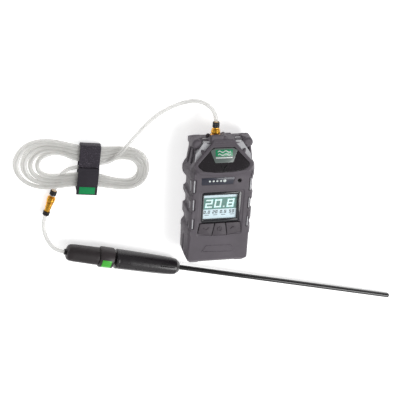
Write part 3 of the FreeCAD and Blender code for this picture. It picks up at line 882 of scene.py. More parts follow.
@dataclass
class Armour:
    """The rubber jacket in its two halves, with knobs, bars, ribs and openings."""

    plan: Sequence[Point] = field(default_factory=lambda: mirrored([
        (23, -83, 1), (25.5, -86, 2), (33, -86, 5), (42.5, -72, 14), (42.5, -33.5, 1.2),
        (38.4, -31, 0.5), (38.4, -23.5, 0.5), (39.8, -22, 1), (39.8, -10, 1),
        (37.4, -8.5, 0.5), (37.4, 5, 0.5), (39.8, 6.5, 1), (39.8, 14, 1), (37.4, 15.5, 0.5),
        (37.4, 32.5, 0.5), (44.5, 35.5, 2), (44.5, 45.5, 2), (38.6, 49.5, 1), (35.6, 66, 1),
        (35.6, 70.6, 0.6), (37.6, 71.8, 0.6), (37.6, 83.2, 6.4), (25.2, 83.2, 0.8),
        (23.6, 80.8, 0.8), (15, 80.8, 1), (13, 84, 1)]))
    side: Sequence[Point] = ((-79, 5, 2), (-86, 12, 6), (-86, 35, 7), (-78, 42.5, 7),
                             (-40, 45, 0), (38, 47, 2), (47, 49, 2), (84, 37.5, 4),
                             (84, 20, 6), (76, 5, 3))
    end: Sequence[Point] = field(default_factory=lambda: mirrored([
        (34, 5, 3), (41.5, 11.5, 6), (44.5, 17, 5), (44.5, 21, 6), (38.9, 41, 6),
        (34.5, 48.5, 4)]))
    limit: Sequence[Point] = field(default_factory=lambda: mirrored([
        (34.4, 4.6, 3), (42, 11, 6), (45, 17, 5), (45, 21, 6), (39.7, 41, 6), (35, 50, 4)]))
    case_plan: Sequence[Point] = field(default_factory=lambda: mirrored([
        (39.5, -81, 15), (39.5, -36, 1), (36.2, -32, 1), (36.2, 48, 2), (33.5, 66, 2),
        (24, 79.5, 2)]))
    case_side: Sequence[Point] = ((-76, 7, 2), (-83, 14, 5), (-83, 33, 7), (-75.5, 40.16, 6),
                                  (-40, 42.5, 0), (38, 44.5, 2), (47, 46.5, 2),
                                  (81, 35.93, 4), (81, 21, 5), (73.5, 7, 2))
    case_end: Sequence[Point] = field(default_factory=lambda: mirrored([
        (33, 7, 2), (39.5, 12.5, 4), (41.5, 18, 4), (41.5, 24, 4), (37.6, 40, 5),
        (32, 46.5, 3)]))
    windows: Sequence[Point] = ((-31.0, -23.5), (-7.5, 5.0), (16.0, 32.5))
    ribs: Sequence[Point] = ((-22.0, -9.0), (6.5, 14.5))
    window_z: Point = (33.0, 36.5)
    slits: Sequence[Point] = ((-32.0, -17.0), (-6.0, 9.5), (18.5, 36.0))
    slit_x: Point = (32.7, 35.9)
    split: float = 21.5
    screws: Sequence[Point] = ((-30.0, 44.0), (30.0, 44.0), (-32.0, -50.0), (32.0, -50.0))

    def _ring(self, x: float, y: float, radius: float, low: float, high: float,
              sides: int = 32) -> bpy.types.Object:
        """An upright round post."""
        return Bench.post("post", (x * MM, y * MM, low * MM), radius * MM, (high - low) * MM,
                          sides)

    def _corners(self) -> list[bpy.types.Object]:
        """Knobs, the inlet's block, and the bars and struts between them."""
        block = mirrored([(15.8, 75.5, 1), (12.2, 84, 1.5)])
        base = Shaper.box("block", (-12.5, 12.5), (74, 84), (18, 37.2))
        parts = [base, Shaper.raised("block_top", block, 0.9, 4)]
        for side in (-1, 1):
            knob = self._ring(side * 31, 76.8, 6.6, 18, 35.2)
            parts.append(Bench.bevel(knob, 3.0 * MM, 4, 60))
            routes = (((28.6, 81.9, 29.5), (9.6, 82.1, 30.1), 2.2),
                      ((34.6, 71.0, 30.0), (37.4, 49, 34.0), 1.8),
                      ((34.6, 71.0, 20), (38.6, 49, 19), 2.2),
                      ((29.6, 74.0, 33.0), (23.2, 66.8, 41.6), 2.5))
            for start, end, radius in routes:
                ends = [(side * p[0], p[1], p[2]) for p in (start, end)]
                parts.append(Shaper.bar("bar", *ends, radius))
        for x, y, top in ((-16.4, 83.6, 36.4), (2.0, 85.0, 37.6)):
            bump = self._ring(x, y, 2.8, 22, top, 24)
            parts.append(Bench.bevel(bump, 1.4 * MM, 3, 60))
        hood = Shaper.box("hood", (-15.4, -0.6), (81, 89.2), (33.7, 38.0))
        parts.append(Bench.bevel(hood, 1.0 * MM, 3, 60))
        return parts

    def _relief(self) -> list[bpy.types.Object]:
        """What stands proud of the face: the lens frame, shelf, ribs and shoulders."""
        frame = mirrored([(12, 41.6, 30), (29, 44.4, 7), (37.4, 54.2, 4), (14.8, 79.4, 3)])
        parts = [Shaper.raised("lens_frame", frame, 0.9, 2.0)]
        shelf = mirrored([(14, 37.6, 26), (31, 40.5, 5), (31, 46, 2)])
        parts.append(Shaper.raised("shelf", shelf, 0.5, 2.0))
        for side in (-1, 1):
            for low, high in self.ribs:
                x = sorted((side * 33.5, side * 41.2))
                wrap = Shaper.box("rib", x, (low, high), (9.5, 46.2))
                parts.append(Bench.bevel(wrap, 1.2 * MM, 3, 30))
            x = sorted((side * 34.5, side * 45.0))
            shoulder = Shaper.box("shoulder", x, (37.2, 45.4), (9, 49.2))
            parts.append(Bench.bevel(shoulder, 2.2 * MM, 3, 30))
            step = Shaper.box("step", sorted((side * 35, side * 43.1)), (-42, -34), (9, 45.2))
            parts.append(Bench.bevel(step, 1.8 * MM, 3, 30))
        return parts

    def _pockets(self) -> list[bpy.types.Object]:
        """What is left open at the two top corners, where bars cross the bare case."""
        outline = [(13.4, 90), (31, 90), (45, 78), (45, 51.2), (37.8, 51.2), (36.4, 56.4),
                   (16.0, 77.4)]
        return [Shaper.upright("pocket", [(side * x, y, 0.6) for x, y in outline], 30, 60)
                for side in (-1, 1)]

    def _cuts(self) -> list[bpy.types.Object]:
        """Everything that is open or sunk in the jacket."""
        cuts = []
        for low, high in (*self.windows, (52.5, 66.0)):
            for x in ((-60, -33), (33, 60)):
                cuts.append(Shaper.box("window", x, (low, high), self.window_z))
        for side in (-1, 1):
            for low, high in self.slits:
                slit = [(side * x, y, 0.4) for x in self.slit_x for y in (low, high)]
                slit = [slit[0], slit[1], slit[3], slit[2]]
                cuts.append(Shaper.raised("slit", slit, 3, 1.4))
            notch = (side * 20 - 5, side * 20 + 5)
            groove = sorted((side * 41.4, side * 47))
            cuts.append(Shaper.box("notch", notch, (80, 90), (24, 34)))
            cuts.append(Shaper.box("groove", groove, (-70, -46), (27, 32)))
        line = [(-29, 25.4, 0.3), (29, 25.4, 0.3), (29, 26.3, 0.3), (-29, 26.3, 0.3)]
        cuts.append(Shaper.raised("line", line, 3, 0.8))
        panel = [(-28.4, -42, 2), (28.4, -42, 2), (28.0, 21.0, 3), (-28.0, 21.0, 3)]
        cuts.append(Shaper.raised("panel", panel, 3, 0.6))
        bezel = [(-25, -24.6, 3), (25, -24.6, 3), (25, 18.6, 3), (-25, 18.6, 3)]
        cuts.append(Shaper.raised("bezel", bezel, 3, 1.1))
        opening = [(-23.5, -23, 2), (23.5, -23, 2), (23.5, 17, 2), (-23.5, 17, 2)]
        cuts.append(Shaper.raised("display", opening, 3, 5))
        cuts.append(Shaper.raised("keys", mirrored(KEY_FIELD), 3, 5))
        cuts.append(Shaper.raised("lens", mirrored(LENS), 3, 5))
        name = [(-26.5, 28.5, 0.6), (12.8, 28.5, 0.6), (14.8, 38.5, 0.6), (-27, 38.5, 0.6)]
        cuts.append(Shaper.raised("name", name, 3, 0.7))
        cuts.append(self._ring(20.5, 33, 2.5, 30, 60))
        inlet = Bench.turned("inlet", [(-20 * MM, 5 * MM), (20 * MM, 5 * MM)],
                             heading((-0.008, 0.086, 0.027), 90), 40)
        cuts.append(inlet)
        cuts.append(Shaper.box("belt", (-60, 60), (3, 64), (-1, 7)))
        cuts += [self._ring(x, -64, 2.6, 0, 7) for x in (-9, 0, 9)]
        cuts += [self._ring(x, y, 3.0, -1, 10) for x, y in self.screws]
        return cuts

    def whole(self) -> bpy.types.Object:
        """The jacket in one piece, still with its hard edges."""
        body = Shaper.envelope("armour", self.plan, self.side, self.end)
        for part in self._relief():
            Bench.boolean(body, part, "UNION")
        limit = Bench.prism("limit", scaled(rounded(self.limit)), -120 * MM, 120 * MM, ENDWAYS)
        Bench.boolean(body, limit, "INTERSECT")
        for pocket in self._pockets():
            Bench.boolean(body, pocket)
        pads = [[(x - 6.5, y - 4.5, 3), (x + 6.5, y - 4.5, 3), (x + 6.5, y + 4.5, 3),
                 (x - 6.5, y + 4.5, 3)] for x in (-27, 27) for y in (-66, 69)]
        for part in [Shaper.upright("pad", pad, 0, 7) for pad in pads] + self._corners():
            Bench.boolean(body, part, "UNION")
        core = Shaper.envelope("core", self.case_plan, self.case_side, self.case_end)
        flange = Shaper.upright("flange", self.case_plan, 18.5, 25.5)
        Bench.boolean(core, flange, "UNION")
        Bench.boolean(body, core)
        for cut in self._cuts():
            Bench.boolean(body, cut)
        return body

    def build(self) -> None:
        """Make both halves, soften them and put them on the case."""
        body = self.whole()
        fine = 0.5
        for name, low, high in (("front_jacket", self.split + 0.12, 60),
                                ("back_jacket", -5, self.split - 0.12)):
            half = Bench.copy(body, name)
            Bench.boolean(half, Shaper.box("keep", (-60, 60), (-100, 100), (low, high)),
                          "INTERSECT")
            Bench.melt(half, fine * MM, 2, 0.5)
            Bench.thin(half, 180000)
            Wardrobe.install(half, "armour_rubber",
                             replaces=[name.split("_")[0] + "_armour"])
        bpy.data.objects.remove(body)
        self._lines()
        self._strips()

    def _lines(self) -> None:
        """Fine ridges moulded on the bars, over the lens and on the lower face."""
        runs = [((-10.5, 78.6), (10.5, 78.6)), ((-10.2, 80.9), (10.2, 80.9))]
        parts = [self._ridge((*a, 0.65), (*b, 0.65), 0.45) for a, b in runs]
        runs = [((-15, -57), (16, -58.2)), ((-18.6, -66), (18.4, -67.8)),
                ((-15, -57), (-21, -66)), ((16, -58.2), (22, -67.8))]
        parts += [self._ridge((*a, -0.05), (*b, -0.05), 0.55) for a, b in runs]
        for side in (-1, 1):
            for start, end, radius in (((26.5, 78.0, 34.6), (14.5, 79.2, 37.2), 0.65),
                                       ((33.6, 71.4, 34.4), (35.9, 51.6, 40.4), 0.8)):
                ends = [(side * p[0], p[1], p[2]) for p in (start, end)]
                parts.append(Shaper.bar("ridge", *ends, radius))
        Wardrobe.install(Bench.joined("moulded_ridges", parts), "armour_rubber")

    @staticmethod
    def _ridge(start: Point, end: Point, radius: float) -> bpy.types.Object:
        """A fine bar between two (x, y, height over the face) points."""
        ends = [(x, y, face_height(y) + lift) for x, y, lift in (start, end)]
        return Shaper.bar("ridge", *ends, radius)

    def _strips(self) -> None:
        """Pale strips of the case that show in the side slits and windows, and pale bars along the
        corner openings' diagonal edges as painted highlights.
        """
        parts = []
        for side in (-1, 1):
            # Painted highlights: pale bars along the diagonal edges of the corner openings.
            for start, end in (((34.2, 58.0, 42.2), (27.6, 65.2, 40.3)),
                               ((22.0, 72.2, 38.7), (16.6, 78.0, 36.9))):
                ends = [(side * p[0], p[1], p[2]) for p in (start, end)]
                parts.append(Shaper.bar("strip", *ends, 0.55))
            for low, high in self.slits:
                ends = [(side * 34.9, y, face_height(y) - 0.8) for y in (low + 0.8, high - 0.8)]
                parts.append(Shaper.bar("strip", *ends, 0.8))
            for low, high in self.windows:
                ends = [(side * 37.0, y, 34.8) for y in (low + 0.4, high - 0.4)]
                parts.append(Shaper.bar("strip", *ends, 0.7))
        Wardrobe.install(Bench.joined("case_strips_and_painted_highlights", parts), "case_plastic")


@dataclass
class Face:
    """What is set in the front: lens, badge, name strip, display and horn ring."""

    badge: Sequence[Point] = ((11, 57.5, 2), (16.5, 71.5, 1), (11, 74.2, 1))

    def build(self) -> None:
        """Make every piece of the face."""
        self._lens()
        self._badge()
        self._strip()
        self._display()
        self._horn()

    def _flat(self, name: str, outline: Sequence[Point], thick: float, depth: float,
              soften: float = 0.15) -> bpy.types.Object:
        """A thin piece of an outline laid on the face, its top sunk by a depth."""
        body = Shaper.upright(name, outline, -thick, 0)
        Bench.bevel(body, soften * MM, 2, 40)
        Bench.smooth(body)
        return Shaper.settle(body, depth)

    def _lens(self) -> None:
        """The dark domed lens, with dark matte fork bars laid on its lower edge as painted shade of
        its forked notch.
        """
        lens = Shaper.upright("lens", mirrored(LENS), -2.2, 0)
        Bench.melt(lens, (0.42) * MM, 2, 0.5)
        for vertex in lens.data.vertices:
            x, y = vertex.co.x / MM, vertex.co.y / MM
            if vertex.co.z > -1.2 * MM:
                dome = max(0.0, 1 - (x / 34) ** 2 - ((y - 58) / 20) ** 2)
                vertex.co.z += 0.9 * MM * dome
        Shaper.settle(lens, 0.35)
        Wardrobe.install(lens, "lens_dark", replaces=["alarm_lens"])
        # Painted shade: near-black matte bars laid where the lens's forked notch is, in place of a
        # cut.
        fork = []
        for start, end in (((-3.6, 54.0), (0, 49.8)), ((3.6, 54.0), (0, 49.8)),
                           ((0, 49.8), (0, 46.6))):
            ends = [(x, y, face_height(y) + 0.40 + 0.10 * (y - 46)) for x, y in (start, end)]
            fork.append(Shaper.bar("fork", *ends, 0.75))
        Wardrobe.install(Bench.joined("lens_notch_shade", fork), "black_plastic", finish="seal_rubber")

    def _badge(self) -> None:
        """A plain hexagonal plate with a green panel, two air waves and a pale bar."""
        plate = self._flat("badge", mirrored(self.badge), 1.0, -1.15, 0.3)
        Wardrobe.install(plate, "badge_grey", replaces=["badge_plate"])
        panel = self._flat("badge_panel", mirrored([(10.6, 65.0, 0.8), (10.6, 72.6, 0.8)]),
                           0.4, -1.40)
        Wardrobe.install(panel, "badge_grey", finish="badge_green")
        waves = []
        for level in (67.1, 70.5):
            waves.append(self._flat("wave", self._wave(level), 0.3, -1.60, 0.05))
        Wardrobe.install(Bench.joined("badge_waves", waves), "badge_grey", finish="mark_pale")
        bar = self._flat("badge_bar", mirrored([(10.2, 62.6, 0.5), (10.4, 64.2, 0.5)]), 0.3,
                         -1.30, 0.08)
        Wardrobe.install(bar, "badge_grey", finish="mark_pale")

    @staticmethod
    def _wave(level: float, reach: float = 7.8, swing: float = 0.8,
              width: float = 0.62) -> list[Point]:
        """Outline of one wavy line across the badge."""
        steps = 28
        xs = [-reach + 2 * reach * i / steps for i in range(steps + 1)]
        centre = [(x, level + swing * math.sin(x * math.pi / 3.9)) for x in xs]
        lower = [(x, y - width, 0.0) for x, y in centre]
        upper = [(x, y + width, 0.0) for x, y in reversed(centre)]
        return lower + upper

    def _strip(self) -> None:
        """The dark blue strip with a slanted end and five plain channel marks."""
        outline = [(-26.2, 28.8, 0.5), (12.5, 28.8, 0.5), (14.4, 38.2, 0.5), (-26.6, 38.2, 0.5)]
        Wardrobe.install(self._flat("strip", outline, 0.6, 0.12, 0.2), "strip_blue",
                         replaces=["name_strip"])
        marks = []
        for i in range(5):
            x = -16.4 + 4.6 * i
            size = 1.25 if i < 4 else 1.9
            ring = [(x - size, 33.6 - size, size * 0.95), (x + size, 33.6 - size, size * 0.95),
                    (x + size, 33.6 + size, size * 0.95), (x - size, 33.6 + size, size * 0.95)]
            marks.append(self._flat("mark", ring, 0.2, 0.0, 0.04))
        Wardrobe.install(Bench.joined("strip_marks", marks), "strip_blue", finish="mark_pale")

    def _display(self) -> None:
        """A teal band with a large reading, and small readings below it."""
        glass = 42.45
        outer = [(-24.4, -23.9, 3), (24.4, -23.9, 3), (24.4, 17.9, 3), (-24.4, 17.9, 3)]
        inner = [(-22.0, -20.0, 0.8), (20.2, -20.0, 0.8), (20.2, 14.0, 0.8), (-22.0, 14.0, 0.8)]
        mask = Shaper.upright("display_mask", outer, -0.45, 0)
        Bench.boolean(mask, Shaper.upright("hole", inner, -2, 2))
        Bench.smooth(Bench.bevel(mask, 0.08 * MM, 2, 50))
        Wardrobe.install(Shaper.settle(mask, 0.8), "black_plastic", finish="mask_gloss")
        band = Bench.cube("lcd_band", (-21.8 * MM, -6.6 * MM, glass * MM),
                          (20.0 * MM, 9.2 * MM, (glass + 0.10) * MM))
        Wardrobe.install(Bench.bevel(band, 0.03 * MM, 1), "display_glass", finish="lcd_teal")
        large = Reading("20.8", 8.7, 11.2, 2.0, 0.12).build((-19.2, -4.4), glass + 0.10)
        Wardrobe.install(large, "display_glass", finish="lcd_pale")
        small = [Reading(text, 2.5, 4.2, 0.8, 0.10).build((x, -12.6), glass)
                 for text, x in (("0.0", -19.6), ("20", -8.4), ("0.5", 1.0), ("50", 12.6))]
        ticks = [Bench.cube("tick", (x * MM, -15.0 * MM, glass * MM),
                            ((x + 5.4) * MM, -14.3 * MM, (glass + 0.05) * MM))
                 for x in (-19.6, -9.0, 1.2, 12.2)]
        Wardrobe.install(Bench.joined("lcd_small", small + ticks), "display_glass",
                         finish="lcd_ink")

    def _horn(self) -> None:
        """A dark ring in the mouth of the horn hole."""
        profile = [(-1.6, 2.45), (0.0, 2.45), (0.1, 2.3), (0.0, 1.95), (-1.6, 1.95),
                   (-1.6, 2.45)]
        at = (0.0205, 0.033, (face_height(33) - 0.35) * MM)
        place = Matrix.Translation(at) @ Matrix.Rotation(math.radians(-90), 4, "Y")
        ring = Bench.turned("horn_ring", [(s * MM, r * MM) for s, r in profile], place, 40, True)
        Wardrobe.install(Bench.smooth(ring), "black_plastic")


@dataclass
class Reading:
    """A number made of seven-segment digits; all sizes are millimetres."""

    text: str
    width: float
    height: float
    stroke: float
    thick: float
    slant: float = 0.12

    def _segments(self, digit: str, x: float, y: float) -> list[tuple[Point, Point]]:
        """Corner pairs of the lit segments of one digit at its lower left corner."""
        w, h, s = self.width, self.height, self.stroke
        m = h / 2
        places = {"a": ((0, h - s), (w, h)), "d": ((0, 0), (w, s)),
                  "g": ((0, m - s / 2), (w, m + s / 2)), "f": ((0, m), (s, h)),
                  "b": ((w - s, m), (w, h)), "e": ((0, 0), (s, m)),
                  "c": ((w - s, 0), (w, m)), ".": ((0, 0), (s, s))}
        lit = {"0": "abcdef", "2": "abged", "5": "afgcd", "8": "abcdefg", ".": "."}[digit]
        return [((x + a[0], y + a[1]), (x + b[0], y + b[1])) for a, b in
                (places[name] for name in lit)]

    def build(self, at: Point, z: float) -> bpy.types.Object:
        """Lay the number out from its lower left corner on the glass."""
        x, y = at
        bars = []
        for digit in self.text:
            for low, high in self._segments(digit, x, y):
                bars.append(Bench.cube("segment", (low[0] * MM, low[1] * MM, z * MM),
                                       (high[0] * MM, high[1] * MM, (z + self.thick) * MM)))
            x += (self.stroke * 2.2 if digit == "." else self.width + self.stroke * 1.3)
        number = Bench.joined("reading_" + self.text.replace(".", "_"), bars)
        slant = Matrix.Identity(4)
        slant[0][1] = self.slant
        number.data.transform(slant)
        return number


class Symbol(Enum):
    """What is embossed on a key."""

    DOWN = "down"
    POWER = "power"
    UP = "up"


@dataclass
class Keys:
    """Three rubber keys with embossed symbols."""

    top: Point = (6.8, -24.2)
    bottom: Point = (9.9, -43.0)
    gap: float = 0.5
    proud: float = 0.55

    def _outline(self, symbol: Symbol) -> list[Point]:
        """Outline of the middle key or of one of its neighbours."""
        g = self.gap
        if symbol is Symbol.POWER:
            half = [(self.bottom[0] - g, -42.75 + g, 0.8), (self.top[0] - g, -24.2 - g, 0.8)]
            return mirrored(half)
        side = 1 if symbol is Symbol.UP else -1
        field_ = [(9.6 + g, -42.55 + g, 0.8), (28 - g, -39 + g, 1.5), (25.8 - g, -24.2 - g, 1),
                  (self.top[0] + g, -24.2 - g, 0.8)]
        return [(side * x, y, r) for x, y, r in field_]

    def _mark(self, symbol: Symbol) -> bpy.types.Object:
        """The raised symbol, made at height 0."""
        if symbol is Symbol.POWER:
            bpy.ops.mesh.primitive_torus_add(major_radius=2.5 * MM, minor_radius=0.6 * MM,
                                             major_segments=36, minor_segments=10,
                                             location=(0, -33.2 * MM, 0))
            ring = Bench.named("ring")
            stem = Shaper.bar("stem", (0, -32.4, 0), (0, -29.2, 0), 0.6)
            return Bench.joined("mark", [ring, stem])
        side, tip = (1, 2.3) if symbol is Symbol.UP else (-1, -2.3)
        x, y = side * 17.2, -32.2
        arms = [Shaper.bar("arm", (x + dx, y - tip * 0.7, 0), (x, y + tip * 0.7, 0), 0.6)
                for dx in (-3.6, 3.6)]
        return Bench.joined("mark", arms)

    def build(self) -> None:
        """Make the three keys, each on its own body."""
        for symbol in Symbol:
            key = Shaper.upright("key_" + symbol.value, self._outline(symbol), -3.0, 0)
            x = {Symbol.DOWN: -17.5, Symbol.POWER: 0.0, Symbol.UP: 17.5}[symbol]
            stem = Bench.post("stem", (x * MM, -32.5 * MM, -5.6 * MM), 2.6 * MM, 4 * MM, 24)
            Bench.boolean(key, stem, "UNION")
            Bench.bevel(key, 0.45 * MM, 3, 40)
            Bench.smooth(key, 40)
            mark = Bench.smooth(self._mark(symbol), 60)
            for piece, depth in ((key, -self.proud), (mark, -self.proud - 0.08)):
                Shaper.settle(piece, depth)
            whole = Bench.joined("key_" + symbol.value, [key, mark])
            Wardrobe.install(whole, "key_rubber", symbol.value + "_key",
                             ["button_" + symbol.value])


# ---- inlet, coupling and probe ------------------------------------------------------------
@dataclass
class Turning:
    """A turned piece on a line: its steps as (distance, radius), and its flutes."""

    name: str
    profile: Sequence[tuple[float, float]]
    slot: str
    replaces: Sequence[str] = ()
    body: str = BODY
    bore: float = 0.0
    soften: float = 0.18
    flutes: Sequence[tuple[float, float, int, float]] = ()
    finish: str | None = None
    segments: int = 72

    def shape(self, place: Matrix) -> bpy.types.Object:
        """Turn the piece at its place, soften its edges and flute its grips."""
        steps = [(s * MM, r * MM) for s, r in self.profile]
        if self.bore:
            inside = [(steps[-1][0], self.bore * MM), (steps[0][0], self.bore * MM), steps[0]]
            steps = steps + inside
        piece = Bench.turned(self.name, steps, place, self.segments, bool(self.bore))
        if self.soften:
            Bench.bevel(piece, self.soften * MM, 3, 25)
        for start, end, count, depth in self.flutes:
            Bench.flute(piece, place, (start * MM, end * MM), count, depth * MM)
        return Bench.smooth(piece, 32)

    def build(self, place: Matrix) -> bpy.types.Object:
        """Shape, dress and install the piece."""
        return Wardrobe.install(self.shape(place), self.slot, self.body, self.replaces,
                                self.finish)


@dataclass
class Inlet:
    """Quick plug, sliding collar and fluted nut of the line at the detector."""

    at: Point = (-0.008, 0.086, 0.027)

    def build(self) -> list[bpy.types.Object]:
        """Make the pieces and return those that are on the line."""
        place = heading(self.at, 90)
        fitting = Turning("inlet_seat", [(-9, 4.9), (-2, 4.9), (-1.9, 6.1), (-0.1, 6.1)],
                          "brass", ["inlet_fitting"], bore=1.7, flutes=[(-1.8, -0.2, 6, 0.35)])
        fitting.build(place)
        pieces = [
            Turning("inlet_stem", [(0, 4.4), (1.0, 4.4), (1.0, 2.9), (16, 2.9)], "brass",
                    ["inlet_plug"]),
            Turning("inlet_sleeve_ring", [(1.6, 4.8), (2.4, 5.5), (3.6, 5.7), (5.0, 5.5),
                                          (5.8, 5.1), (7.0, 5.0), (7.6, 4.6)], "brass",
                    ["inlet_collar"], "inlet_sleeve", 3.0, segments=96),
            Turning("inlet_gland", [(9.6, 4.1), (10.0, 4.3), (12.6, 4.3), (12.9, 3.9),
                                    (13.3, 4.3), (15.4, 4.2), (16.4, 3.5)], "black_plastic",
                    ["inlet_nut"], bore=2.9, flutes=[(9.9, 15.6, 12, 0.45)], segments=96)]
        return [piece.build(place) for piece in pieces]


@dataclass
class Coupling:
    """Inline coupling between the line and the probe's tube."""

    at: Point = (-0.1992, 0.011, 0.005)
    yaw: float = -108.8
    length: float = 34.5

    def build(self) -> list[bpy.types.Object]:
        """Make both nuts, the socket, the sleeve and the plug."""
        place = heading(self.at, self.yaw)
        end = self.length
        nut = [(0, 3.5), (0.8, 4.2), (2.4, 4.3), (2.6, 3.9), (3.0, 3.9), (3.2, 4.3), (5.4, 4.3)]
        flutes = [(0.6, 5.3, 12, 0.4)]
        near = Turning("near_gland", nut, "black_plastic", bore=2.9, flutes=flutes,
                       segments=96).shape(place)
        far_profile = [(end - s, r) for s, r in reversed(nut)]
        far = Turning("far_gland", far_profile, "black_plastic", bore=2.9,
                      flutes=[(end - 5.3, end - 0.6, 12, 0.4)], segments=96).shape(place)
        nuts = Wardrobe.install(Bench.joined("coupling_glands", [near, far]), "black_plastic",
                                replaces=["coupling_nuts"])
        socket = Turning("coupling_body", [
            (0, 2.9), (5.4, 2.9), (5.45, 3.6), (6.9, 3.6), (7.0, 2.9), (16.6, 2.9),
            (16.65, 4.3), (17.4, 4.3), (17.5, 4.0), (18.0, 4.0), (18.1, 4.3), (18.95, 4.3)],
            "brass", ["coupling_socket"])
        ring = Turning("coupling_ring", [(5.6, 3.5), (5.7, 3.75), (6.7, 3.75), (6.8, 3.5)],
                       "steel", bore=2.95)
        sleeve = Turning("coupling_grip", [
            (9.2, 4.5), (9.7, 5.0), (11.0, 5.0), (11.1, 4.7), (11.5, 4.7), (11.6, 5.0),
            (15.0, 5.0), (15.6, 4.6)], "brass", ["coupling_sleeve"], "line_sleeve", 3.0,
            flutes=[(11.8, 14.8, 40, 0.2)], segments=160)
        plug = Turning("coupling_tail", [
            (19.0, 3.9), (22.4, 3.9), (22.5, 3.6), (23.0, 3.6), (23.1, 3.9), (24.0, 3.9),
            (24.05, 3.5), (end - 6, 3.5), (end - 5.9, 2.9), (end, 2.9)], "brass",
            ["coupling_plug"])
        return [nuts] + [piece.build(place) for piece in (socket, ring, sleeve, plug)]


@dataclass
class Probe:
    """Handle in two halves round a collar, and the thin rod in front."""

    at: Point = (-0.1895, -0.0694, 0.01485)
    yaw: float = -13.88
    droop: float = 1.43

    def _front(self, place: Matrix) -> bpy.types.Object:
        """The front grip with its chamfered nose, grip lines and two slots."""
        grip = Turning("front_grip", [
            (65.8, 12.1), (66.6, 12.75), (67.6, 12.85), (69.6, 12.8), (69.9, 12.45),
            (70.5, 12.45), (70.8, 12.75), (90, 12.5), (111, 12.2), (125, 11.8), (139, 11.3),
            (146, 10.3), (150.6, 6.9), (151, 6.2)], "grip_gloss", bore=3.15, soften=0.25,
            segments=96).shape(place)
        for side in (-1, 1):
            for lift in (-1.5, 1.5):
                low = (123 * MM, (side * 11.6 - 1.6) * MM, (lift - 0.55) * MM)
                high = (144 * MM, (side * 11.6 + 1.6) * MM, (lift + 0.55) * MM)
                slot = Bench.cube("slot", low, high)
                slot.data.transform(place @ Matrix.Rotation(math.radians(63), 4, "X"))
                Bench.boolean(grip, slot)
        return Bench.smooth(grip, 30)

    def build(self) -> list[bpy.types.Object]:
        """Make every piece of the probe that shows, and return those near its hose."""
        place = heading(self.at, self.yaw, self.droop)
        nipple = Turning("hose_nipple", [
            (0, 3.3), (0.6, 3.9), (1.4, 4.0), (1.6, 3.6), (2.4, 3.6), (2.6, 4.0), (6.9, 4.0),
            (7.0, 5.4), (12.0, 5.4)], "black_plastic", ["probe_nipple"], soften=0.15)
        rear = Turning("rear_grip", [
            (3.0, 6.6), (3.5, 7.8), (4.6, 9.2), (7.0, 10.4), (12, 10.9), (40.5, 11.25),
            (42.2, 11.3), (43.6, 11.1), (44.5, 10.8)], "grip_matte", ["probe_rear_grip"],
            bore=4.0, soften=0.35, segments=96)
        collar = Turning("grip_collar", [
            (44.5, 11.9), (45.2, 12.9), (46.4, 13.25), (61.0, 13.25), (62.4, 12.8),
            (63.0, 12.2), (63.0, 7.7), (79.5, 7.7)], "grip_matte", ["probe_collar"], bore=5.0,
            soften=0.25, finish="collar_matte", segments=96)
        rod = Turning("probe_shaft", [
            (151.0, 3.175), (466.2, 3.175), (467.0, 2.5)], "rod_black", ["probe_rod"],
            "probe_front", 1.5, soften=0.2, segments=48)
        rod.build(place)
        Wardrobe.install(self._front(place), "grip_gloss", "probe_front",
                         ["probe_front_grip"])
        near = [piece.build(place) for piece in (nipple, rear, collar)]
        return near + [self._label(place)]

    def _label(self, place: Matrix) -> bpy.types.Object:
        """A plain green label that wraps the lower front of the collar."""
        steps, radius = 18, 13.32
        first, last = -100.0, 12.0
        outer = []
        for i in range(steps + 1):
            a = math.radians(first + (last - first) * i / steps)
            outer.append((radius * math.cos(a), radius * math.sin(a)))
        inner = [(x * 0.985, y * 0.985) for x, y in reversed(outer)]
        turn = place @ Matrix.Rotation(math.radians(180), 4, "X") @ Matrix(
            ((0, 0, 1, 0), (1, 0, 0, 0), (0, 1, 0, 0), (0, 0, 0, 1)))
        label = Bench.prism("collar_label", scaled(outer + inner), 47.8 * MM, 59.6 * MM, turn)
        Bench.smooth(Bench.bevel(label, 0.08 * MM, 2, 50), 40)
        return Wardrobe.install(label, "label_green", replaces=["probe_label"])


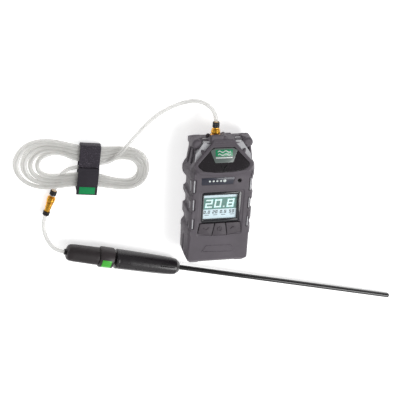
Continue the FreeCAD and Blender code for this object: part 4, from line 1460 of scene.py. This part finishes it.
@dataclass
class Strap:
    """Hook and loop strap round the hank, with its flap, fold and plain green patch."""

    at: Point = (-0.1582, 0.0376, 0.0)
    yaw: float = -5.5
    width: float = 25.0

    def _band(self, name: str, outline: Sequence[Point], inset: float = 0.0) -> bpy.types.Object:
        """A strip across the strap from its outline in the strap's own side view."""
        half = (self.width / 2 - inset) * MM
        turn = heading(self.at, self.yaw) @ SIDEWAYS
        return Bench.prism(name, scaled(rounded(outline, 8)), -half, half, turn)

    def _box(self, name: str, x: Point, y: Point, z: Point) -> bpy.types.Object:
        """A box in the strap's own directions."""
        box = Shaper.box(name, x, y, z)
        box.data.transform(heading(self.at, self.yaw))
        return box

    def build(self) -> list[bpy.types.Object]:
        """Make the fuzzy ring, the smooth flap, the stitched fold and the patch."""
        ring = self._band("strap_ring", [(-26.9, 0.1, 2.5), (33.5, 0.1, 3), (33.5, 13.4, 4),
                                         (3, 13.9, 20), (-26.9, 13.2, 2.5)])
        hole = self._band("hole", [(-25.3, 1.6, 1.5), (31.9, 1.6, 2), (31.9, 11.8, 3),
                                   (3, 12.3, 20), (-25.3, 11.6, 1.5)], -2)
        Bench.boolean(ring, hole)
        Bench.melt(ring, (0.45) * MM, 2, 0.5)
        Bench.ruffle(ring, 0.28 * MM, 0.0009)
        flap = self._band("strap_flap", [(-30.2, 13.2, 0.4), (-26, 13.5, 3), (0, 14.0, 0),
                                         (5.4, 14.1, 0.5), (5.4, 15.1, 0.5), (-26, 15.0, 3),
                                         (-30.2, 14.7, 0.5)])
        Bench.bevel(flap, 0.3 * MM, 2, 40)
        Bench.smooth(flap, 40)
        fold = self._band("strap_fold", [(0.6, 14.9, 0.3), (5.6, 15.0, 0.3), (5.6, 15.7, 0.3),
                                         (0.6, 15.6, 0.3)], 0.3)
        Bench.bevel(fold, 0.2 * MM, 2, 40)
        threads = []
        for y in (1.3, 4.9):
            for i in range(11):
                x = -11.0 + 2.1 * i
                threads.append(self._box("stitch", (x, x + 1.3), (y - 0.14, y + 0.14),
                                         (15.5, 15.86)))
        border = []
        for x, y in ((-9.4, -28.5), (-9.4, -19.7)):
            for i in range(12):
                start = x + 1.58 * i
                border.append(self._box("stitch", (start, start + 1.0), (y - 0.12, y + 0.12),
                                        (15.2, 15.62)))
        patch = self._band("patch", [(-28.6, 14.8, 0.1), (-19.4, 15.0, 0.1),
                                     (-19.4, 15.42, 0.1), (-28.6, 15.36, 0.1)], 3.0)
        Bench.bevel(patch, 0.15 * MM, 2, 40)
        pieces = [
            Wardrobe.install(ring, "strap_fabric", replaces=["hank_strap"],
                             finish="strap_loops"),
            Wardrobe.install(flap, "strap_fabric"),
            Wardrobe.install(fold, "strap_fabric"),
            Wardrobe.install(Bench.joined("fold_stitches", threads), "strap_fabric"),
            Wardrobe.install(Bench.joined("patch_stitches", border), "patch_green"),
            Wardrobe.install(Bench.smooth(patch, 40), "patch_green",
                             replaces=["strap_patch"])]
        return pieces


# ---- sampling line ------------------------------------------------------------------------
@dataclass
class SamplingLine:
    """The clear line: a lead from the inlet, a tied hank, a tail, and the probe's own tube."""

    diameter: float = 4.8
    lead: tuple[Point, ...] = (
        (-8, 97, 27), (-8, 107, 27), (-12.4, 117.5, 26.5), (-20.6, 124.4, 24.2),
        (-31.6, 127, 19), (-44, 123, 12.5), (-58, 115.6, 6.6), (-73, 105.5, 2.9),
        (-88, 92, 2.9), (-99, 80.5, 4.6), (-110, 70.2, 9.4), (-118.5, 61.5, 13.0),
        (-127, 53, 12.6), (-135.5, 47.0, 9.4), (-146, 45.4, 5.6), (-158, 46.6, 4.4),
        (-168, 50, 3.6))
    tail: tuple[Point, ...] = (
        (-157, 41.4, 8.0), (-172, 42.3, 7.0), (-185, 37.5, 4.6), (-193.5, 27.2, 4.2),
        (-199.2, 11, 5.0))
    probe_lead: tuple[Point, ...] = (
        (-210.32, -21.66, 5), (-212.8, -29, 5), (-213.4, -40.5, 5.9), (-210.3, -52.2, 9.2),
        (-204.9, -61.4, 13.2), (-197.26, -67.48, 15.05), (-189.5, -69.4, 14.85))
    outer: tuple[Point, ...] = (
        (-157, 64.5), (-176, 68.8), (-197, 75.0), (-218, 76.4), (-235, 69.5), (-245.5, 55),
        (-245.8, 38), (-236, 23), (-218, 14.6), (-197, 15.0), (-176, 18.5), (-157, 17.6),
        (-138, 13.6), (-118, 9.0), (-100, 10.4), (-87.6, 21), (-84, 36), (-88, 51),
        (-101, 61), (-118, 63.8), (-138, 63.8))
    inner: tuple[Point, ...] = (
        (-157, 50.6), (-174, 53.4), (-189, 60.6), (-203, 61.0), (-213, 56), (-218, 49),
        (-218, 40), (-212, 32.4), (-202, 29.2), (-188, 29.6), (-173, 31.2), (-157, 31.6),
        (-142, 27.0), (-126, 21.0), (-110, 18.0), (-99, 22), (-95, 34), (-98, 44),
        (-106, 50.4), (-119, 52.0), (-138, 50.2))
    across: tuple[Point, ...] = inner[:9] + (
        (-188, 29.8), (-173, 32.4), (-157, 36.4), (-143, 37.6), (-127, 29.4),
        (-112, 20.0)) + inner[15:]
    slots: tuple[float, ...] = (1.0, 0.66, 0.33, 0.0, 0.10, 0.42, 0.76, 1.0)
    crossing: tuple[int, ...] = (3, 4)
    taken_by_lead: int = 2

    def turns(self) -> list[Vector]:
        """The hank's turns, from inside out on the table and back in on top of them."""
        chance = random.Random(5)
        points = []
        count = len(self.outer)
        half = len(self.slots) // 2
        for turn, slot in enumerate(self.slots):
            following = self.slots[min(turn + 1, len(self.slots) - 1)]
            inside = self.across if turn in self.crossing else self.inner
            layer = 1.0 if turn >= half else 0.0
            loose = chance.uniform(-1.0, 1.0)
            for i, (far, near) in enumerate(zip(self.outer, inside)):
                if turn == 0 and i < self.taken_by_lead:
                    continue
                share = slot + (following - slot) * max(0.0, (i - count + 6) / 6)
                lobe = math.sin(math.pi * min(1.0, max(0.0, (i - 1) / 9)))
                share = min(1.0, max(0.0, share + 0.06 * loose * lobe))
                x, y = Vector(far).lerp(Vector(near), share)
                rise = max(0.0, min(1.0, (30 - abs(x + 158)) / 14))
                next_layer = 1.0 if turn + 1 >= half else 0.0
                step = layer + (next_layer - layer) * max(0.0, (i - count + 4) / 4)
                z = self.diameter / 2 + 0.1 + 1.7 * rise + 4.3 * step
                points.append(Vector((x, y, z)))
        return points

    def curve(self, name: str, points: Iterable[Point]) -> bpy.types.Object:
        """A smooth tube through the neighbourhood of its route's points."""
        route = scaled(points)
        data = bpy.data.curves.new(name, "CURVE")
        data.dimensions = "3D"
        data.bevel_depth = self.diameter / 2 * MM
        data.bevel_resolution = 5
        data.resolution_u = 6
        data.use_fill_caps = True
        spline = data.splines.new("NURBS")
        spline.points.add(len(route) - 1)
        for place, point in zip(spline.points, route):
            place.co = (*point, 1.0)
        spline.order_u = 3
        spline.use_endpoint_u = True
        obj = bpy.data.objects.new(name, data)
        bpy.context.scene.collection.objects.link(obj)
        return obj

    def build(self, couplings: list[Any], probe: list[Any]) -> list[bpy.types.Object]:
        route = [Vector(p) for p in self.lead] + self.turns() + [Vector(p) for p in self.tail]
        line = self.curve("sampling_line", route)
        short = self.curve("probe_hose", self.probe_lead)
        Wardrobe.install(line, "tube_clear", replaces=["line_lead", "line_hank", "line_tail"])
        Wardrobe.install(short, "tube_clear", replaces=["probe_tube"])
        return [line, short]


def main() -> None:
    """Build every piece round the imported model."""
    logging.basicConfig(level=logging.INFO, format="%(name)s: %(message)s")
    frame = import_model()
    bpy.ops.object.select_all(action="DESELECT")
    Wardrobe.dress_frame(frame)
    Studio().build()
    for part in (Armour(), Face(), Keys()):
        part.build()
    on_line = Inlet().build() + Coupling().build() + Strap().build()
    SamplingLine().build(on_line, Probe().build())


if __name__ == "__main__":
    main()
